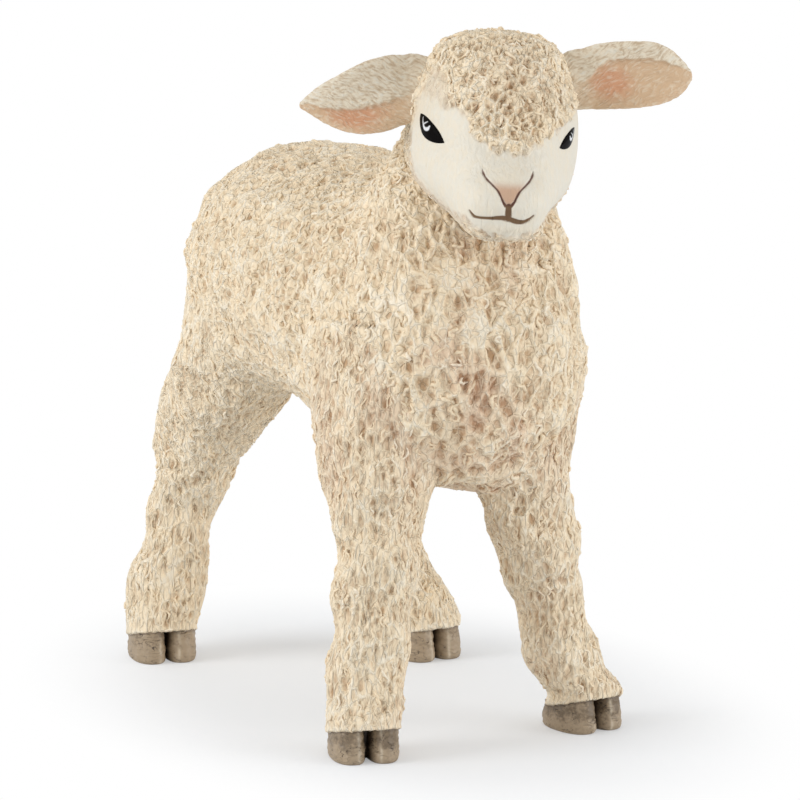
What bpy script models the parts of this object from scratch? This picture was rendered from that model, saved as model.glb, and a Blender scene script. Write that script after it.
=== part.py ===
"""Toy lamb, a solid moulded farm animal figure that stands on four hooves.

The lamb faces -Y, +X is its left side and +Z is up. The floor is z = 0, and the origin is under the middle
of the figure's box. Torso, head, legs, tail and ears are lofts through oval sections. Every smaller piece is cut
by the larger one that carries it, and plugs into it with a round spigot, as the shots of a moulded figure are
put together.
"""

import math

import bmesh
import bpy
import numpy as np
from mathutils import Matrix, Vector

MM = 0.001

# Torso
BACK_HEIGHT = 37.0 * MM
BODY_LENGTH = 40.0 * MM
BODY_WIDTH = 20.0 * MM

# Head
HEAD_LENGTH = 15.0 * MM
HEAD_HEIGHT = 13.2 * MM
HEAD_WIDTH = 11.2 * MM
HEAD_YAW = math.radians(-20.0)
HEAD_ROLL = math.radians(4.0)

# Ears
EAR_LENGTH = 8.4 * MM
EAR_WIDTH = 4.8 * MM
EAR_THICKNESS = 1.3 * MM
EAR_CUP = 1.3 * MM
EAR_TURN = math.radians(-20.0)
EAR_RAISE = {"ear_left": math.radians(8.0), "ear_right": math.radians(-9.0)}

# Eyes
EYE_LENGTH = 2.9 * MM
EYE_OPENING = 1.3 * MM
EYE_DEPTH = 1.3 * MM
EYE_SLANT = math.radians(44.0)
EYE_TURN = math.radians(52.0)

# Legs
LEG_WIDTH = 5.2 * MM
LEG_DEPTH = 5.2 * MM

# Hooves
HOOF_WIDTH = 4.7 * MM
HOOF_LENGTH = 4.8 * MM
HOOF_TOE_HEIGHT = 2.6 * MM
HOOF_HEEL_HEIGHT = 1.4 * MM
CLEFT_WIDTH = 0.7 * MM

# Tail
TAIL_WIDTH = 3.6 * MM
TAIL_DEPTH = 2.6 * MM

# Fleece: the length of the waves that make its lumps, and their height over the form below
FLEECE_WAVE = 5.2 * MM
FLEECE_HEIGHT = 0.18 * MM

# Seams between the shots of the moulding
SEAM_GAP = 0.3 * MM
NECK_SPIGOT_RADIUS = 1.8 * MM
LEG_SPIGOT_RADIUS = 1.4 * MM
SMALL_SPIGOT_RADIUS = 0.6 * MM
HOOF_SPIGOT_RADIUS = 0.9 * MM
HOOF_SPIGOT_LENGTH = 1.2 * MM
CUT_OVERRUN = 1.0 * MM

# Facets. A wave of the fleece has WAVE_FACETS of them.
WAVE_FACETS = 4
TORSO_SIDES = 44
HEAD_SIDES = 32
LEG_SIDES = 16
HOOF_SIDES = 24
SPIGOT_SIDES = 12

# Torso sections, from the rump to the neck: back point (y, z) and belly point (y, z) as shares of BODY_LENGTH and
# BACK_HEIGHT, half width as a share of BODY_WIDTH, and the widest level as a share of the way up from the belly.
TORSO_SHARES = [
    (0.445, 0.830, 0.455, 0.760, 0.100, 0.50),
    (0.420, 0.905, 0.430, 0.665, 0.240, 0.50),
    (0.360, 0.962, 0.362, 0.600, 0.370, 0.50),
    (0.260, 0.995, 0.245, 0.575, 0.450, 0.50),
    (0.125, 1.006, 0.110, 0.555, 0.490, 0.50),
    (-0.025, 0.998, -0.065, 0.530, 0.495, 0.50),
    (-0.140, 1.005, -0.240, 0.475, 0.470, 0.50),
    (-0.205, 1.040, -0.390, 0.475, 0.425, 0.48),
    (-0.240, 1.085, -0.475, 0.575, 0.375, 0.46),
    (-0.258, 1.130, -0.492, 0.720, 0.325, 0.45),
    (-0.270, 1.155, -0.462, 0.845, 0.275, 0.45),
    (-0.290, 1.165, -0.430, 0.935, 0.215, 0.45),
    (-0.335, 1.150, -0.405, 1.010, 0.120, 0.45),
]

# Head sections, from the back of the skull to the lips, in the head's own frame: top point (y, z) and jaw point
# (y, z) as shares of HEAD_LENGTH and HEAD_HEIGHT, half width as a share of HEAD_WIDTH, and the widest level.
HEAD_SHARES = [
    (0.280, 0.110, 0.285, -0.040, 0.140, 0.50),
    (0.225, 0.300, 0.250, -0.230, 0.360, 0.50),
    (0.080, 0.455, 0.145, -0.370, 0.460, 0.50),
    (-0.090, 0.485, 0.000, -0.450, 0.505, 0.43),
    (-0.250, 0.415, -0.150, -0.470, 0.460, 0.42),
    (-0.385, 0.270, -0.290, -0.475, 0.395, 0.42),
    (-0.495, 0.095, -0.410, -0.480, 0.340, 0.42),
    (-0.580, -0.045, -0.510, -0.485, 0.290, 0.44),
    (-0.640, -0.125, -0.595, -0.480, 0.250, 0.46),
    (-0.685, -0.185, -0.655, -0.455, 0.190, 0.50),
    (-0.705, -0.250, -0.690, -0.400, 0.090, 0.50),
]

# Where the head's frame sits, as shares of BODY_WIDTH, BODY_LENGTH and BACK_HEIGHT, and where the neck's spigot
# ends in the torso. The places of the ears, of their spigots' ends and of the eyes are shares of HEAD_WIDTH,
# HEAD_LENGTH and HEAD_HEIGHT.
HEAD_PLACE_SHARES = (0.070, -0.370, 1.125)
NECK_SPIGOT_SHARES = (0.0, -0.370, 0.92)
EAR_PLACE_SHARES = {"ear_left": (0.40, -0.02, 0.22), "ear_right": (0.40, -0.02, 0.15)}
EAR_SPIGOT_SHARES = (0.27, -0.04, 0.30)
EYE_PLACE_SHARES = (0.412, -0.285, 0.00)

# Ear sections, from the root to the tip: way along the ear, half width and half thickness as shares of the ear's
# length, width and thickness, how much of the cup the section has, and how far its middle rises as a share of the
# ear's width. The right ear hangs and ends in a point.
EAR_SHARES = {
    "ear_left": [
        (-0.12, 0.30, 0.50, 0.10, 0.020),
        (0.06, 0.41, 0.50, 0.25, 0.055),
        (0.20, 0.43, 0.46, 0.50, 0.050),
        (0.36, 0.46, 0.42, 0.80, 0.040),
        (0.56, 0.46, 0.38, 1.00, 0.020),
        (0.72, 0.43, 0.36, 0.90, 0.020),
        (0.85, 0.34, 0.32, 0.60, 0.010),
        (0.95, 0.21, 0.26, 0.30, 0.000),
        (1.00, 0.09, 0.16, 0.00, 0.000),
    ],
    "ear_right": [
        (-0.12, 0.36, 0.50, 0.10, 0.060),
        (0.06, 0.46, 0.50, 0.25, 0.080),
        (0.20, 0.48, 0.46, 0.50, 0.050),
        (0.40, 0.51, 0.42, 0.85, -0.020),
        (0.58, 0.46, 0.38, 1.00, -0.065),
        (0.74, 0.345, 0.36, 0.85, -0.060),
        (0.86, 0.225, 0.32, 0.55, -0.030),
        (0.95, 0.12, 0.26, 0.25, 0.000),
        (1.00, 0.05, 0.16, 0.00, 0.000),
    ],
}

# Leg sections above the coronet: place (x, y, z) as shares of BODY_WIDTH, BODY_LENGTH and BACK_HEIGHT, half width
# and half depth as shares of LEG_WIDTH and LEG_DEPTH.
LEG_SHARES = {
    "front_right": [
        (-0.405, -0.380, 0.120, 0.51, 0.50),
        (-0.390, -0.375, 0.190, 0.50, 0.47),
        (-0.375, -0.375, 0.280, 0.52, 0.50),
        (-0.360, -0.370, 0.350, 0.53, 0.50),
        (-0.340, -0.350, 0.445, 0.60, 0.62),
        (-0.320, -0.325, 0.540, 0.72, 0.80),
        (-0.300, -0.300, 0.675, 0.68, 0.85),
        (-0.300, -0.290, 0.780, 0.38, 0.55),
    ],
    "front_left": [
        (0.365, -0.355, 0.120, 0.51, 0.50),
        (0.340, -0.352, 0.180, 0.46, 0.46),
        (0.305, -0.350, 0.240, 0.42, 0.44),
        (0.270, -0.350, 0.300, 0.52, 0.52),
        (0.260, -0.350, 0.355, 0.57, 0.55),
        (0.222, -0.345, 0.415, 0.57, 0.58),
        (0.215, -0.325, 0.520, 0.64, 0.72),
        (0.250, -0.300, 0.675, 0.68, 0.85),
        (0.290, -0.290, 0.780, 0.38, 0.55),
    ],
    "rear_right": [
        (-0.420, 0.415, 0.120, 0.54, 0.54),
        (-0.405, 0.412, 0.180, 0.50, 0.48),
        (-0.380, 0.408, 0.245, 0.46, 0.45),
        (-0.350, 0.405, 0.315, 0.47, 0.52),
        (-0.325, 0.385, 0.380, 0.53, 0.62),
        (-0.300, 0.350, 0.460, 0.68, 0.86),
        (-0.290, 0.280, 0.560, 0.80, 1.04),
        (-0.285, 0.215, 0.675, 0.78, 1.05),
        (-0.290, 0.235, 0.790, 0.42, 0.60),
    ],
    "rear_left": [
        (0.375, 0.245, 0.120, 0.52, 0.54),
        (0.330, 0.265, 0.180, 0.49, 0.48),
        (0.300, 0.290, 0.245, 0.46, 0.45),
        (0.285, 0.305, 0.325, 0.48, 0.55),
        (0.270, 0.315, 0.400, 0.56, 0.68),
        (0.270, 0.305, 0.480, 0.68, 0.85),
        (0.280, 0.275, 0.570, 0.80, 1.05),
        (0.290, 0.235, 0.675, 0.78, 1.10),
        (0.290, 0.235, 0.790, 0.42, 0.60),
    ],
}

# Feet: place of the sole (x, y) as shares of BODY_WIDTH and BODY_LENGTH, and the heading of the toes, which is
# positive towards the lamb's left.
FOOT_SHARES = {
    "front_right": (-0.425, -0.390),
    "front_left": (0.425, -0.360),
    "rear_right": (-0.440, 0.4125),
    "rear_left": (0.405, 0.225),
}
TOE_HEADING = {
    "front_right": math.radians(-14.0),
    "front_left": math.radians(10.0),
    "rear_right": math.radians(-10.0),
    "rear_left": math.radians(4.0),
}

# Hoof sections, from the sole to the coronet: way up, half width and half length as shares of the height, the
# hoof's width and its length. The fleece's lower edge stands out over the coronet, and the cleft runs back from
# the toe for its own share of the hoof's length.
HOOF_SHARES = [
    (0.00, 0.470, 0.480),
    (0.12, 0.500, 0.500),
    (0.55, 0.490, 0.485),
    (0.90, 0.465, 0.460),
    (1.00, 0.440, 0.440),
]
CORONET_SHARE = 0.54
CLEFT_SHARE = 0.46

# Tail sections, from the root down: place (y, z) as shares of BODY_LENGTH and BACK_HEIGHT, half width and half
# depth as shares of the tail's width and depth.
TAIL_SHARES = [
    (0.370, 0.925, 0.34, 0.40),
    (0.425, 0.890, 0.44, 0.50),
    (0.462, 0.830, 0.50, 0.50),
    (0.478, 0.750, 0.50, 0.50),
    (0.478, 0.670, 0.46, 0.46),
    (0.474, 0.610, 0.36, 0.36),
    (0.470, 0.585, 0.16, 0.18),
]


def collection(name):
    """A collection of that name, linked to the scene."""
    made = bpy.data.collections.new(name)
    bpy.context.scene.collection.children.link(made)
    return made


def material(name, colour, roughness):
    """A plain Principled paint or plastic."""
    made = bpy.data.materials.new(name)
    made.use_nodes = True
    shader = made.node_tree.nodes["Principled BSDF"]
    shader.inputs["Base Color"].default_value = (*colour, 1.0)
    shader.inputs["Roughness"].default_value = roughness
    shader.inputs["Metallic"].default_value = 0.0
    return made


def add_object(name, mesh, home, finish=None):
    """An object with that mesh in that collection, shaded smooth except over its sharp edges."""
    made = bpy.data.objects.new(name, mesh)
    home.objects.link(made)
    if finish is not None:
        mesh.materials.append(finish)
    mesh.shade_smooth()
    mesh.set_sharp_from_angle(angle=math.radians(45.0))
    return made


def hidden(cutter):
    """Marks a cutter, which is not a piece of the figure."""
    cutter.hide_render = True
    cutter.display_type = "WIRE"
    return cutter


def smooth_rows(rows, steps):
    """Rows of numbers with steps - 1 more between each two, on a Catmull-Rom curve through the rows."""
    rows = np.asarray(rows, float)
    ends = np.vstack([2 * rows[0] - rows[1], rows, 2 * rows[-1] - rows[-2]])
    before, here, after, beyond = ends[:-3], ends[1:-2], ends[2:-1], ends[3:]
    made = []
    for step in range(steps):
        t = step / steps
        made.append(
            0.5 * (2 * here + (after - before) * t
                   + (2 * before - 5 * here + 4 * after - beyond) * t ** 2
                   + (3 * here - before - 3 * after + beyond) * t ** 3)
        )
    return np.vstack([np.stack(made, axis=1).reshape(-1, rows.shape[1]), rows[-1:]])


def oval(low, high, side, widest, sides):
    """Points of an oval section from the low point to the high point, with its widest level between them."""
    low, high, side = (np.asarray(point, float) for point in (low, high, side))
    angles = np.arange(sides) * 2 * math.pi / sides
    rise = np.sin(angles)
    share = widest + np.where(rise > 0, (1 - widest) * rise, widest * rise)
    return low + np.outer(share, high - low) + np.outer(np.cos(angles), side)


def loft_mesh(name, rings):
    """A closed mesh: a skin of quads through the rings, with a flat cap on the first and the last."""
    count, sides = len(rings), len(rings[0])
    faces = [list(range(sides)), [(count - 1) * sides + k for k in range(sides)]]
    for ring in range(count - 1):
        for k in range(sides):
            here, there = ring * sides, (ring + 1) * sides
            after = (k + 1) % sides
            faces.append([here + k, here + after, there + after, there + k])
    mesh = bpy.data.meshes.new(name)
    mesh.from_pydata(np.vstack(rings).tolist(), [], faces)
    shape = bmesh.new()
    shape.from_mesh(mesh)
    bmesh.ops.recalc_face_normals(shape, faces=shape.faces)
    shape.to_mesh(mesh)
    shape.free()
    return mesh


def profile_rings(shares, length, height, width, steps, sides):
    """Rings of a body that is drawn in side view by its back line and its belly line."""
    rings = []
    for back_y, back_z, belly_y, belly_z, half_width, widest in smooth_rows(shares, steps):
        high = (0, back_y * length, back_z * height)
        low = (0, belly_y * length, belly_z * height)
        rings.append(oval(low, high, (half_width * width, 0, 0), widest, sides))
    return rings


def fleece_rings(rings):
    """The rings drawn anew at even steps over the skin, and pushed in and out by the waves of the fleece.

    The waves run through space, so the lumps of two pieces meet at their seam. They fade out at both ends.
    """
    rings = np.asarray(rings)
    way = np.concatenate([[0], np.cumsum(np.linalg.norm(np.diff(rings, axis=0), axis=2).mean(axis=1))])
    count = round(WAVE_FACETS * way[-1] / FLEECE_WAVE)
    stops = np.linspace(0, way[-1], count + 1)
    columns = rings.reshape(len(rings), -1).T
    rings = np.stack([np.interp(stops, way, column) for column in columns], axis=1).reshape(count + 1, -1, 3)
    x, y, z = np.moveaxis(2 * math.pi * rings / FLEECE_WAVE, 2, 0)
    waves = np.sin(x) * np.cos(y) + np.sin(y) * np.cos(z) + np.sin(z) * np.cos(x)
    places = np.arange(count + 1)[:, None]
    fade = np.clip(np.minimum(places, (count - places) / 2) / WAVE_FACETS, 0, 1)
    outward = rings - rings.mean(axis=1, keepdims=True)
    outward /= np.linalg.norm(outward, axis=2, keepdims=True)
    return rings + outward * (FLEECE_HEIGHT * fade * waves)[:, :, None]


def swollen(host, home):
    """A cutter of the host's outer shape, grown by the seam's gap along its normals."""
    cutter = bpy.data.objects.new(host.name + "_seat", host.data.copy())
    cutter.matrix_world = host.matrix_world.copy()
    home.objects.link(cutter)
    grow = cutter.modifiers.new("grow", "DISPLACE")
    grow.mid_level = 0.0
    grow.strength = SEAM_GAP
    return hidden(cutter)


def boolean(piece, cutter, operation):
    """Adds a live Boolean to a piece."""
    step = piece.modifiers.new(operation.lower() + "_" + cutter.name, "BOOLEAN")
    step.operation = operation
    step.solver = "EXACT"
    step.object = cutter


def rod(name, start, end, radius, home):
    """A round rod from start to end."""
    start, end = Vector(start), Vector(end)
    shape = bmesh.new()
    bmesh.ops.create_cone(
        shape, cap_ends=True, segments=SPIGOT_SIDES, radius1=radius, radius2=radius, depth=(end - start).length
    )
    mesh = bpy.data.meshes.new(name)
    shape.to_mesh(mesh)
    shape.free()
    made = bpy.data.objects.new(name, mesh)
    made.location = (start + end) / 2
    made.rotation_euler = (end - start).to_track_quat("Z", "Y").to_euler()
    home.objects.link(made)
    return hidden(made)


def plug(piece, host, root, tip, radius, cutters):
    """Gives a piece a spigot from the root, inside the piece, to the tip, inside the host, and the host a socket."""
    root, tip = Vector(root), Vector(tip)
    inward = (tip - root).normalized()
    boolean(piece, rod(piece.name + "_spigot", root, tip, radius, cutters), "UNION")
    socket = rod(piece.name + "_socket", root, tip + inward * SEAM_GAP, radius + SEAM_GAP, cutters)
    boolean(host, socket, "DIFFERENCE")


def body_point(shares):
    """A point given by shares of the torso's width, length and height."""
    across, along, up = shares
    return Vector((across * BODY_WIDTH, along * BODY_LENGTH, up * BACK_HEIGHT))


def head_frame():
    """Where the head sits: above the chest, turned a little to the lamb's right and tipped."""
    turned = Matrix.Rotation(HEAD_YAW, 4, "Z") @ Matrix.Rotation(HEAD_ROLL, 4, "Y")
    return Matrix.Translation(body_point(HEAD_PLACE_SHARES)) @ turned


def head_point(shares, side):
    """A place in the head's own frame, on its left (side 1) or its right (side -1)."""
    across, along, up = shares
    return Matrix.Translation((side * across * HEAD_WIDTH, along * HEAD_LENGTH, up * HEAD_HEIGHT))


def build_torso(figure, wool):
    """Barrel, chest and neck in one loft, with the lumps of the fleece."""
    rings = profile_rings(TORSO_SHARES, BODY_LENGTH, BACK_HEIGHT, BODY_WIDTH, 6, TORSO_SIDES)
    return add_object("torso", loft_mesh("torso", fleece_rings(rings)), figure, wool)


def build_head(figure, finish):
    """Skull, cheeks and muzzle in one loft."""
    rings = profile_rings(HEAD_SHARES, HEAD_LENGTH, HEAD_HEIGHT, HEAD_WIDTH, 3, HEAD_SIDES)
    head = add_object("head", loft_mesh("head", rings), figure, finish)
    head.matrix_world = head_frame()
    return head


def build_ear(name, side, head, seat, figure, cutters, finish):
    """A leaf-shaped ear, hollow to the front, that points outward from the head."""
    rings = []
    for along, half_width, half_thickness, cup, rise in smooth_rows(EAR_SHARES[name], 2):
        reach = side * along * EAR_LENGTH
        ring = oval((reach, 0, -half_width * EAR_WIDTH), (reach, 0, half_width * EAR_WIDTH),
                    (0, half_thickness * EAR_THICKNESS, 0), 0.5, LEG_SIDES)
        rim = ring[:, 2] / (EAR_WIDTH / 2)
        ring[:, 1] -= cup * EAR_CUP * rim ** 2
        ring[:, 2] += rise * EAR_WIDTH
        rings.append(ring)
    ear = add_object(name, loft_mesh(name, rings), figure, finish)
    lifted = Matrix.Rotation(-side * EAR_RAISE[name], 4, "Y") @ Matrix.Rotation(EAR_TURN, 4, "X")
    ear.matrix_world = head_frame() @ head_point(EAR_PLACE_SHARES[name], side) @ lifted
    boolean(ear, seat, "DIFFERENCE")
    root = ear.matrix_world @ Vector((side * EAR_LENGTH / 8, 0, 0))
    tip = (head_frame() @ head_point(EAR_SPIGOT_SHARES, side)).translation
    plug(ear, head, root, tip, SMALL_SPIGOT_RADIUS, cutters)
    return ear


def almond_mesh(name, spare):
    """An eye: a ball drawn out to two points, larger all round by the spare size."""
    shape = bmesh.new()
    bmesh.ops.create_uvsphere(shape, u_segments=SPIGOT_SIDES, v_segments=SPIGOT_SIDES, radius=0.5)
    for vert in shape.verts:
        way = vert.co.z * 2
        pinch = math.sqrt(max(0, 1 - way * way))
        vert.co = Vector((
            vert.co.z * (EYE_LENGTH + 2 * spare),
            vert.co.x * (EYE_DEPTH + 2 * spare) * pinch,
            vert.co.y * (EYE_OPENING + 2 * spare) * pinch,
        ))
    mesh = bpy.data.meshes.new(name)
    shape.to_mesh(mesh)
    shape.free()
    return mesh


def build_eye(name, side, head, figure, cutters, finish):
    """A slanted almond eye, let halfway into its socket in the head."""
    eye = add_object(name, almond_mesh(name, 0), figure, finish)
    turned = Matrix.Rotation(side * EYE_TURN, 4, "Z") @ Matrix.Rotation(-side * EYE_SLANT, 4, "Y")
    eye.matrix_world = head_frame() @ head_point(EYE_PLACE_SHARES, side) @ turned
    socket = bpy.data.objects.new(name + "_socket", almond_mesh(name + "_socket", SEAM_GAP))
    cutters.objects.link(socket)
    socket.matrix_world = eye.matrix_world.copy()
    boolean(head, hidden(socket), "DIFFERENCE")
    return eye


def foot_frame(name):
    """The frame of a hoof: the middle of its sole, with the toes along -Y."""
    across, along = FOOT_SHARES[name]
    place = Matrix.Translation((across * BODY_WIDTH, along * BODY_LENGTH, 0))
    return place @ Matrix.Rotation(TOE_HEADING[name], 4, "Z")


def coronet_height(y):
    """Height of the coronet over a point of the sole: it slopes down from the toe to the heel."""
    middle = (HOOF_TOE_HEIGHT + HOOF_HEEL_HEIGHT) / 2
    return middle - (HOOF_TOE_HEIGHT - HOOF_HEEL_HEIGHT) * y / HOOF_LENGTH


def build_leg(name, torso, seat, figure, cutters, finish):
    """One leg, from the sloping coronet up into the torso, with the lumps of the fleece."""
    ring = oval((0, -CORONET_SHARE * HOOF_LENGTH, 0), (0, CORONET_SHARE * HOOF_LENGTH, 0),
                (CORONET_SHARE * HOOF_WIDTH, 0, 0), 0.5, LEG_SIDES)
    heading = TOE_HEADING[name]
    ring[:, 2] = coronet_height(ring[:, 1] * math.cos(heading) - ring[:, 0] * math.sin(heading)) + SEAM_GAP
    rings = [ring + np.array(foot_frame(name).translation)]
    for across, along, up, half_width, half_depth in smooth_rows(LEG_SHARES[name], 4):
        centre = np.array(body_point((across, along, up)))
        depth = np.array([0, half_depth * LEG_DEPTH, 0])
        rings.append(oval(centre - depth, centre + depth, (half_width * LEG_WIDTH, 0, 0), 0.5, LEG_SIDES))
    leg = add_object(name + "_leg", loft_mesh(name + "_leg", fleece_rings(rings)), figure, finish)
    boolean(leg, seat, "DIFFERENCE")
    forearm, shoulder = LEG_SHARES[name][-4], LEG_SHARES[name][-2]
    plug(leg, torso, body_point(forearm[:3]), body_point(shoulder[:3]), LEG_SPIGOT_RADIUS, cutters)
    return leg


def build_hoof(name, leg, figure, cutters, finish):
    """A cloven hoof with a flat sole, a bulging wall and a sloping coronet, plugged into its leg."""
    rings = []
    for rise, half_width, half_length in HOOF_SHARES:
        ring = oval((0, -half_length * HOOF_LENGTH, 0), (0, half_length * HOOF_LENGTH, 0),
                    (half_width * HOOF_WIDTH, 0, 0), 0.5, HOOF_SIDES)
        ring[:, 2] = rise * coronet_height(ring[:, 1])
        rings.append(ring)
    hoof = add_object(name + "_hoof", loft_mesh(name + "_hoof", rings), figure, finish)
    frame = foot_frame(name)
    hoof.matrix_world = frame
    shape = bmesh.new()
    bmesh.ops.create_cube(shape, size=1)
    length = CLEFT_SHARE * HOOF_LENGTH + CUT_OVERRUN
    for vert in shape.verts:
        front = vert.co.y < 0
        vert.co.x *= CLEFT_WIDTH if front else CLEFT_WIDTH / 3
        vert.co.y = (vert.co.y + 0.5) * length - HOOF_LENGTH / 2 - CUT_OVERRUN
        vert.co.z = (vert.co.z + 0.5) * (HOOF_TOE_HEIGHT + 2 * CUT_OVERRUN) - CUT_OVERRUN
    mesh = bpy.data.meshes.new(name + "_cleft")
    shape.to_mesh(mesh)
    shape.free()
    cleft = bpy.data.objects.new(name + "_cleft", mesh)
    cutters.objects.link(cleft)
    cleft.matrix_world = frame
    boolean(hoof, hidden(cleft), "DIFFERENCE")
    behind = HOOF_LENGTH / 8
    root = frame @ Vector((0, behind, HOOF_HEEL_HEIGHT / 2))
    tip = frame @ Vector((0, behind, coronet_height(behind) + SEAM_GAP + HOOF_SPIGOT_LENGTH))
    plug(hoof, leg, root, tip, HOOF_SPIGOT_RADIUS, cutters)
    return hoof


def build_tail(torso, seat, figure, cutters, finish):
    """The woolly tail, which hangs down close behind the rump."""
    rings = []
    for along, up, half_width, half_depth in smooth_rows(TAIL_SHARES, 6):
        centre = np.array(body_point((0, along, up)))
        depth = np.array([0, half_depth * TAIL_DEPTH, 0])
        rings.append(oval(centre - depth, centre + depth, (half_width * TAIL_WIDTH, 0, 0), 0.5, LEG_SIDES))
    tail = add_object("tail", loft_mesh("tail", fleece_rings(rings)), figure, finish)
    boolean(tail, seat, "DIFFERENCE")
    along, up = TAIL_SHARES[2][:2]
    root = body_point((0, along, up))
    tip = root - Vector((0, TAIL_DEPTH, 0))
    plug(tail, torso, root, tip, SMALL_SPIGOT_RADIUS, cutters)
    return tail


def centre_on_floor(pieces):
    """Moves all objects so that the box of the pieces has its middle over the origin."""
    seen = bpy.context.evaluated_depsgraph_get()
    low, high = np.full(3, np.inf), np.full(3, -np.inf)
    for piece in pieces:
        mesh = piece.evaluated_get(seen).to_mesh()
        points = np.empty(3 * len(mesh.vertices))
        mesh.vertices.foreach_get("co", points)
        turn = np.array(piece.matrix_world)
        points = points.reshape(-1, 3) @ turn[:3, :3].T + turn[:3, 3]
        low, high = np.minimum(low, points.min(axis=0)), np.maximum(high, points.max(axis=0))
    middle = (low + high) / 2
    shift = Matrix.Translation((-middle[0], -middle[1], 0))
    for item in bpy.data.objects:
        item.matrix_world = shift @ item.matrix_world


def main():
    """Builds the figure."""
    for old in list(bpy.data.objects):
        bpy.data.objects.remove(old)
    figure = collection("toy_lamb")
    cutters = collection("cutters")
    wool = material("cream_wool", (0.80, 0.66, 0.47), 0.6)
    face = material("face_white", (0.86, 0.78, 0.66), 0.5)
    inner_ear = material("ear_peach", (0.84, 0.60, 0.42), 0.55)
    horn = material("hoof_taupe", (0.33, 0.27, 0.20), 0.45)
    gloss = material("eye_black", (0.008, 0.007, 0.007), 0.12)
    torso = build_torso(figure, wool)
    head = build_head(figure, face)
    torso_seat = swollen(torso, cutters)
    head_seat = swollen(head, cutters)
    pieces = [torso, head]
    boolean(head, torso_seat, "DIFFERENCE")
    plug(head, torso, body_point(HEAD_PLACE_SHARES), body_point(NECK_SPIGOT_SHARES), NECK_SPIGOT_RADIUS, cutters)
    for side, word in ((1, "left"), (-1, "right")):
        pieces.append(build_ear("ear_" + word, side, head, head_seat, figure, cutters, inner_ear))
        pieces.append(build_eye("eye_" + word, side, head, figure, cutters, gloss))
    for name in LEG_SHARES:
        leg = build_leg(name, torso, torso_seat, figure, cutters, wool)
        pieces.append(leg)
        pieces.append(build_hoof(name, leg, figure, cutters, horn))
    pieces.append(build_tail(torso, torso_seat, figure, cutters, wool))
    centre_on_floor(pieces)


main()
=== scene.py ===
"""Toy lamb: the look of the moulded and painted figure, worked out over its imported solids.

Lengths are in millimetres in the lamb's own frame until a mesh is made: the lamb faces -Y, +X is its left side,
+Z is up, and the middle of the torso stands over x = 0. The fleece is a net of ridges round pits, with thousands of
small worm-like curls half sunk in it, the face is smooth with engraved and painted lines, and the hooves are cloven.
"""

from __future__ import annotations

import logging
import math
from dataclasses import dataclass, field
from enum import Enum

import bpy
import numpy as np
from mathutils import Matrix, Vector


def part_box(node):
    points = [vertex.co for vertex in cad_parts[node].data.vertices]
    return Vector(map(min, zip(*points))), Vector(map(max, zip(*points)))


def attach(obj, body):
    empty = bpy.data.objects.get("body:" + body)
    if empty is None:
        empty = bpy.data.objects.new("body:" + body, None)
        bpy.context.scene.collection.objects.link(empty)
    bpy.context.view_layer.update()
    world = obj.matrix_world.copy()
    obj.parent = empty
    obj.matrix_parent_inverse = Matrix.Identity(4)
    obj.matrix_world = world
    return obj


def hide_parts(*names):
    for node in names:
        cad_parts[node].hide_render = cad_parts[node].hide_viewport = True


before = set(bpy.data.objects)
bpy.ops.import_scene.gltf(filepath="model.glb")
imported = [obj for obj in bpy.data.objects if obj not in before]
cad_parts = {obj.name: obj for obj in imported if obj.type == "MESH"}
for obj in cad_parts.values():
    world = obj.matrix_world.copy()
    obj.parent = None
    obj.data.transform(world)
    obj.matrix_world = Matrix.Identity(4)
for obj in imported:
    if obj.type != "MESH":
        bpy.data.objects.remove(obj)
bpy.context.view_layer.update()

MM = 0.001
LOG = logging.getLogger("toy_lamb")
WHITE = (1.0, 1.0, 1.0, 1.0)
FAR = 9.0
TINY = 1e-9
PROFILE_CUTS = 61
COLUMN_CUTS = 81
Array = np.ndarray
Table = tuple[tuple[float, ...], ...]
Socket = bpy.types.NodeSocket
Material = bpy.types.Material


class Lie(Enum):
    """How curls lie on the skin that carries them."""

    HANGING = 0.35
    COMBED = 0.75
    LOOSE = 3.14


# ---------------------------------------------------------------- numbers on surfaces


def unit(vectors: Array) -> Array:
    """The vectors divided by their lengths."""
    return vectors / np.maximum(np.linalg.norm(vectors, axis=-1, keepdims=True), TINY)


def round_angles(count: int) -> Array:
    """Angles of so many even places round a ring."""
    return np.arange(count) * 2 * math.pi / count


def smoothstep(low: float, high: float, value: Array) -> Array:
    """A soft step from 0 at low to 1 at high: 3t squared less 2t cubed."""
    t = np.clip((value - low) / (high - low), 0.0, 1.0)
    return t * t * (3.0 - 2.0 * t)


def table_at(table: Table, t: Array) -> Array:
    """Rows of a table at fractional places, on a smooth curve through the rows.

    Between two rows it is a cubic, whose slope at a row is half the step from the row before to the row after.

    Args:
        table: Rows of numbers.
        t: Places, where 0 is the first row and 1 the second.

    Returns:
        One row for each place.
    """
    rows = np.asarray(table, float)
    ends = np.vstack([2 * rows[0] - rows[1], rows, 2 * rows[-1] - rows[-2]])
    start = np.clip(np.floor(t).astype(int), 0, len(rows) - 2)
    f = (t - start)[:, None]
    a, b, c, d = ends[start], ends[start + 1], ends[start + 2], ends[start + 3]
    return 0.5 * (2 * b + (c - a) * f + (2 * a - 5 * b + 4 * c - d) * f**2 + (3 * b - a - 3 * c + d) * f**3)


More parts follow.
